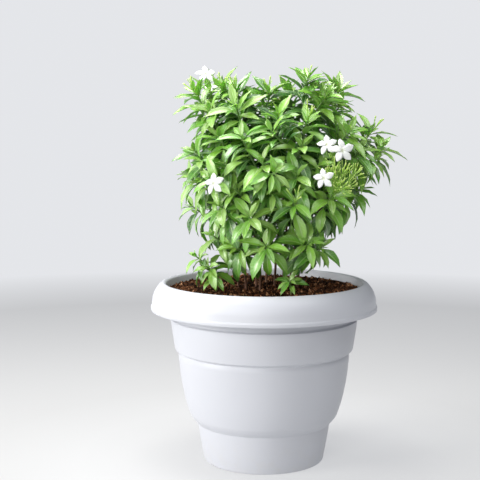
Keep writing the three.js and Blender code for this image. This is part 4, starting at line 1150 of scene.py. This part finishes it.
def twigLine(shoot):
    # centres, radii and woodiness from the root to the tip; a leader also goes down into the soil, and a side
    # shoot has the same number of rings, so that all shoots of a stem go into one mesh
    share = np.linspace(0, 1, twig["rings"])
    extra = twig["extraRings"]
    centres = curveAt(shoot["curve"], share)
    thick = growth["stemRadius"] * shoot["leafSize"] if shoot["isLeader"] else growth["branchRadius"]
    thin = growth["tipRadius"] * twig["thinning"]
    if shoot["isInner"]:
        thick, thin = twig["innerRadius"], twig["innerEnd"]
    radii = thick + (thin - thick) * share
    distance = (1 - share) * shoot["reach"]
    for back, _, _, _, _ in pairs[:tipPair]:
        radii = radii * (1 + twig["swell"] * np.exp(-(((distance - back) / twig["swellWidth"]) ** 2)))
    if shoot["isLeader"]:
        depth = growth["stemRise"] + growth["rootDepth"] - 0.4
        below = np.repeat(centres[:1], extra, axis=0)
        below[:, 2] -= np.linspace(depth, growth["stemRise"], extra)
        centres = np.concatenate([below, centres])
        radii = np.concatenate([np.full(extra, thick), radii])
        distance = np.concatenate([np.full(extra, 400.0), distance])
    else:
        start = centres[:1] + (centres[1] - centres[0]) * np.linspace(0, 0.8, extra)[:, None]
        centres = np.concatenate([start, centres[1:], centres[-1:] + shoot["heading"] * 0.3])
        radii = np.concatenate([np.repeat(radii[:1], extra), radii[1:], radii[-1:]])
        distance = np.concatenate([np.repeat(distance[:1], extra), distance[1:], [0.0]])
    wood = np.clip((distance - twig["greenTo"]) / (twig["woodFrom"] - twig["greenTo"]), 0, 1)
    return centres, radii, wood, shoot["tip"] + shoot["heading"] * twig["overshoot"]


def twigMaterial():  # bark from green to red-brown with age, in patches
    shader = Shader("jasmineTwig")
    wood = shader.attribute("wood")
    bark = shader.noise(260, 5, 0.65)
    patch = shader.minus(shader.noise(45, 3, 0.5), 0.5)
    share = shader.plus(wood, shader.times(patch, 0.5), clamp=True)
    green, brown = shader.mix(bark, *twig["greens"]), shader.mix(bark, *twig["browns"])
    shader.set(Base_Color=shader.mix(share, green, brown), Roughness=shader.span(wood, 0, 1, 0.45, 0.75),
               Normal=shader.bump(bark, 0.5, 0.0005))
    return shader.material


def twigProxy(shoot, first=0):  # every fourth ring, from the first that has to be clear
    centres, radii, _, tip = twigLine(shoot)
    keep = np.arange(first, len(centres), twig["proxyStep"])
    return crowdTube(centres[keep], radii[keep], tip)


for shoot in shoots:
    crowd.add(*twigProxy(shoot))
for points in proxyShapes(leaves):
    crowd.add(points, bladeFaces)
crowd.settle()
print("stage: solid growth in the search tree")

# more growth: young leaves at the tips, older ones down the shoots, and short inner shoots off the leaders
more = {
    "lowest": 284,  # no inner shoot forks below this height, and a leaf starts there only on the low stems
    "lastShare": 0.84,  # no leaf grows further down from the tip than this share of the shoot
    "wider": [(48, 0, 0.86), (-48, 0, 0.86), (18, -52, 0.78), (-18, -52, 0.74), (60, -20, 0.72),
              (-60, -20, 0.72), (0, -60, 0.64), (30, 34, 0.62), (-30, 40, 0.6)],
    "innerShares": (0.4, 0.5, 0.6, 0.7, 0.8, 0.9), "innerTries": 9, "innerReach": 44, "innerSeed": 500,
    "innerIndex": 20, "clearFrom": 12,
    "waves": (tipPair, youngest, 0, 1, 2, 3, *between, 4, 5), "lastWaves": (6, 7, 8),
    "innerWaves": (1, 0, tipPair, 2, youngest, *between, 3),
}
tries += more["wider"]


def tryLeaf(shoot, pairIndex, side):  # the first pose that finds room is kept
    if pairs[pairIndex][0] > shoot["reach"] * more["lastShare"]:
        return
    poses = [leafPose(shoot, pairIndex, side, attempt) for attempt in range(len(tries))]
    if poses[0]["root"][2] < more["lowest"] and shoot["stem"] not in lowStems:
        return
    for pose, points in zip(poses, proxyShapes(poses)):
        if crowd.takes(points, bladeFaces):
            leaves.append(pose)
            return


def innerShoot(stemIndex, name, j, share, attempt):
    # leaves the leader on about the golden angle, a little further round with each try, and turns up
    leader = shootOf(name, 0)["curve"]
    start = curveAt(leader, share)
    seed = more["innerSeed"] + stemIndex * 100 + j * 10 + attempt
    axis, across, other = shootFrame(leader, share)
    out = roundAxis(across, other, (j + stemIndex * 1.7) * 2.4 + attempt * 0.7)
    reach = more["innerReach"] * (1 + spread(seed, 18, 0.3)) * (1 - 0.04 * attempt)
    tip = start + unitOf(out + axis * (0.7 + spread(seed, 19, 0.3))) * reach
    heading = unitOf(unitOf(tip - start) + np.array([spread(seed, 1, 0.2), spread(seed, 2, 0.2), 0.6]))
    curve = sideCurve(leader, tip, heading, share)
    return makeShoot(name, seed, more["innerIndex"] + j, curve, heading, True)


def growInner():  # at each share of each leader, the first inner shoot whose twig meets nothing
    made = []
    for stemIndex, name in enumerate(stems):
        for j, share in enumerate(more["innerShares"]):
            if curveAt(shootOf(name, 0)["curve"], share)[2] < more["lowest"]:
                continue
            for attempt in range(more["innerTries"]):
                shoot = innerShoot(stemIndex, name, j, share, attempt)
                if crowd.takes(*twigProxy(shoot, more["clearFrom"])):
                    made.append(shoot)
                    break
    return made


def growWaves(shootList, pairIndexes):  # a pair of leaves at a time on every shoot, where none has grown
    grown = {leaf["seed"] for leaf in leaves}
    for pairIndex in pairIndexes:
        for shoot in shootList:
            for side in (0, 1):
                if leafSeed(shoot, pairIndex, side) not in grown:
                    tryLeaf(shoot, pairIndex, side)


def growBuds():  # side buds on the sprays, where there is room
    for spray in sprays:
        shoot = shootOf(spray["stem"], spray["shoot"])
        for k in range(spray["count"], spray["count"] + spray["more"]):
            line = sideBud(shoot, spray, k)
            if crowd.takes(*budProxy(line)):
                budSets[spray["stem"]]["lines"].append(line)


growBuds()
growWaves(shoots, more["waves"])
innerShoots = growInner()
print("stage: inner shoots:", len(innerShoots))
growWaves(innerShoots, more["innerWaves"])
growWaves(shoots, more["lastWaves"])
budCount = sum(len(budSet["lines"]) for budSet in budSets.values())
print("stage: leaves in all:", len(leaves), "buds in all:", budCount)

leafLook, twigLook, budLook = leafMaterial(), twigMaterial(), budMaterial()


def makeTubes(name, node, material, key, atTip, lines, sides):
    # each line is a tube's centres, radii, one number per ring and tip; the material reads the numbers under
    # the key, and atTip is the number there
    centres, radii, numbers, tips = (np.array(part) for part in zip(*lines))
    rings = tubeRings(centres, radii, sides)
    values = {key: strandValues(np.repeat(numbers[:, :, None], sides, axis=2), atTip)}
    makePiece(name, node, material, strandPoints(rings, tips), strandFaces(*rings.shape[:3]), values)


def makeStem(name):  # one piece each for the leaves, the twigs and the buds of a stem
    points, faces, values, sharp = leafMesh([leaf for leaf in leaves if leaf["shoot"]["stem"] == name])
    makePiece(name + "_leaves", name, leafLook, points, faces, values, sharp)
    twigs = [twigLine(shoot) for shoot in shoots + innerShoots if shoot["stem"] == name]
    makeTubes(name + "_twigs", name, twigLook, "wood", 0.0, twigs, twig["sides"])
    buds = []
    if budSets[name]["lines"]:
        buds += zip(*budStrands(budSets[name]["lines"]))
    for path, radii, tip in budSets[name]["tubes"]:
        buds.append((path, radii, np.full(len(path), bud["stalkBloom"]), tip))
    if buds:
        makeTubes(name + "_buds", name, budLook, "bloom", 1.0, buds, bud["sides"])


for stemName in stems:
    makeStem(stemName)
print("stage: stems made")

# floor: it glows near the pot, a painted light that brightens the pot's foot from below, and further out like
# the backdrop, so that no horizon shows
stage = {
    "size": 16.0, "level": -0.0004, "colour": (0.26, 0.257, 0.25), "roughness": 0.85, "shine": 0.3,
    "glow": 0.5, "glowFrom": 0.25, "glowTo": 1.3, "fadeFrom": 0.4, "fadeTo": 1.9,
}
floorMesh = bpy.data.meshes.new("floor")
floorSquare = np.array([(-1, -1), (1, -1), (1, 1), (-1, 1)]) * stage["size"] / 2
floorMesh.from_pydata([(x, y, stage["level"]) for x, y in floorSquare.tolist()], [], [(0, 1, 2, 3)])
floor = bpy.data.objects.new("floor", floorMesh)
floorShader = Shader("paleFloor")
distance = floorShader.reach((0, 0, 0), (1, 1, 1))
fade = floorShader.span(distance, stage["fadeFrom"], stage["fadeTo"])
# painted light: the floor glows most close to the pot and fades out by glowTo
glow = floorShader.span(distance, stage["glowFrom"], stage["glowTo"], stage["glow"], 0.0)
floorShader.set(Base_Color=floorShader.mix(fade, stage["colour"], (0, 0, 0)), Roughness=stage["roughness"],
                Specular_IOR_Level=floorShader.minus(stage["shine"], floorShader.times(fade, stage["shine"])),
                Emission_Strength=floorShader.plus(floorShader.times(fade, sky["seen"]), glow),
                Emission_Color=(*sky["colour"], 1))
floorMesh.materials.append(floorShader.material)
bpy.context.scene.collection.objects.link(floor)
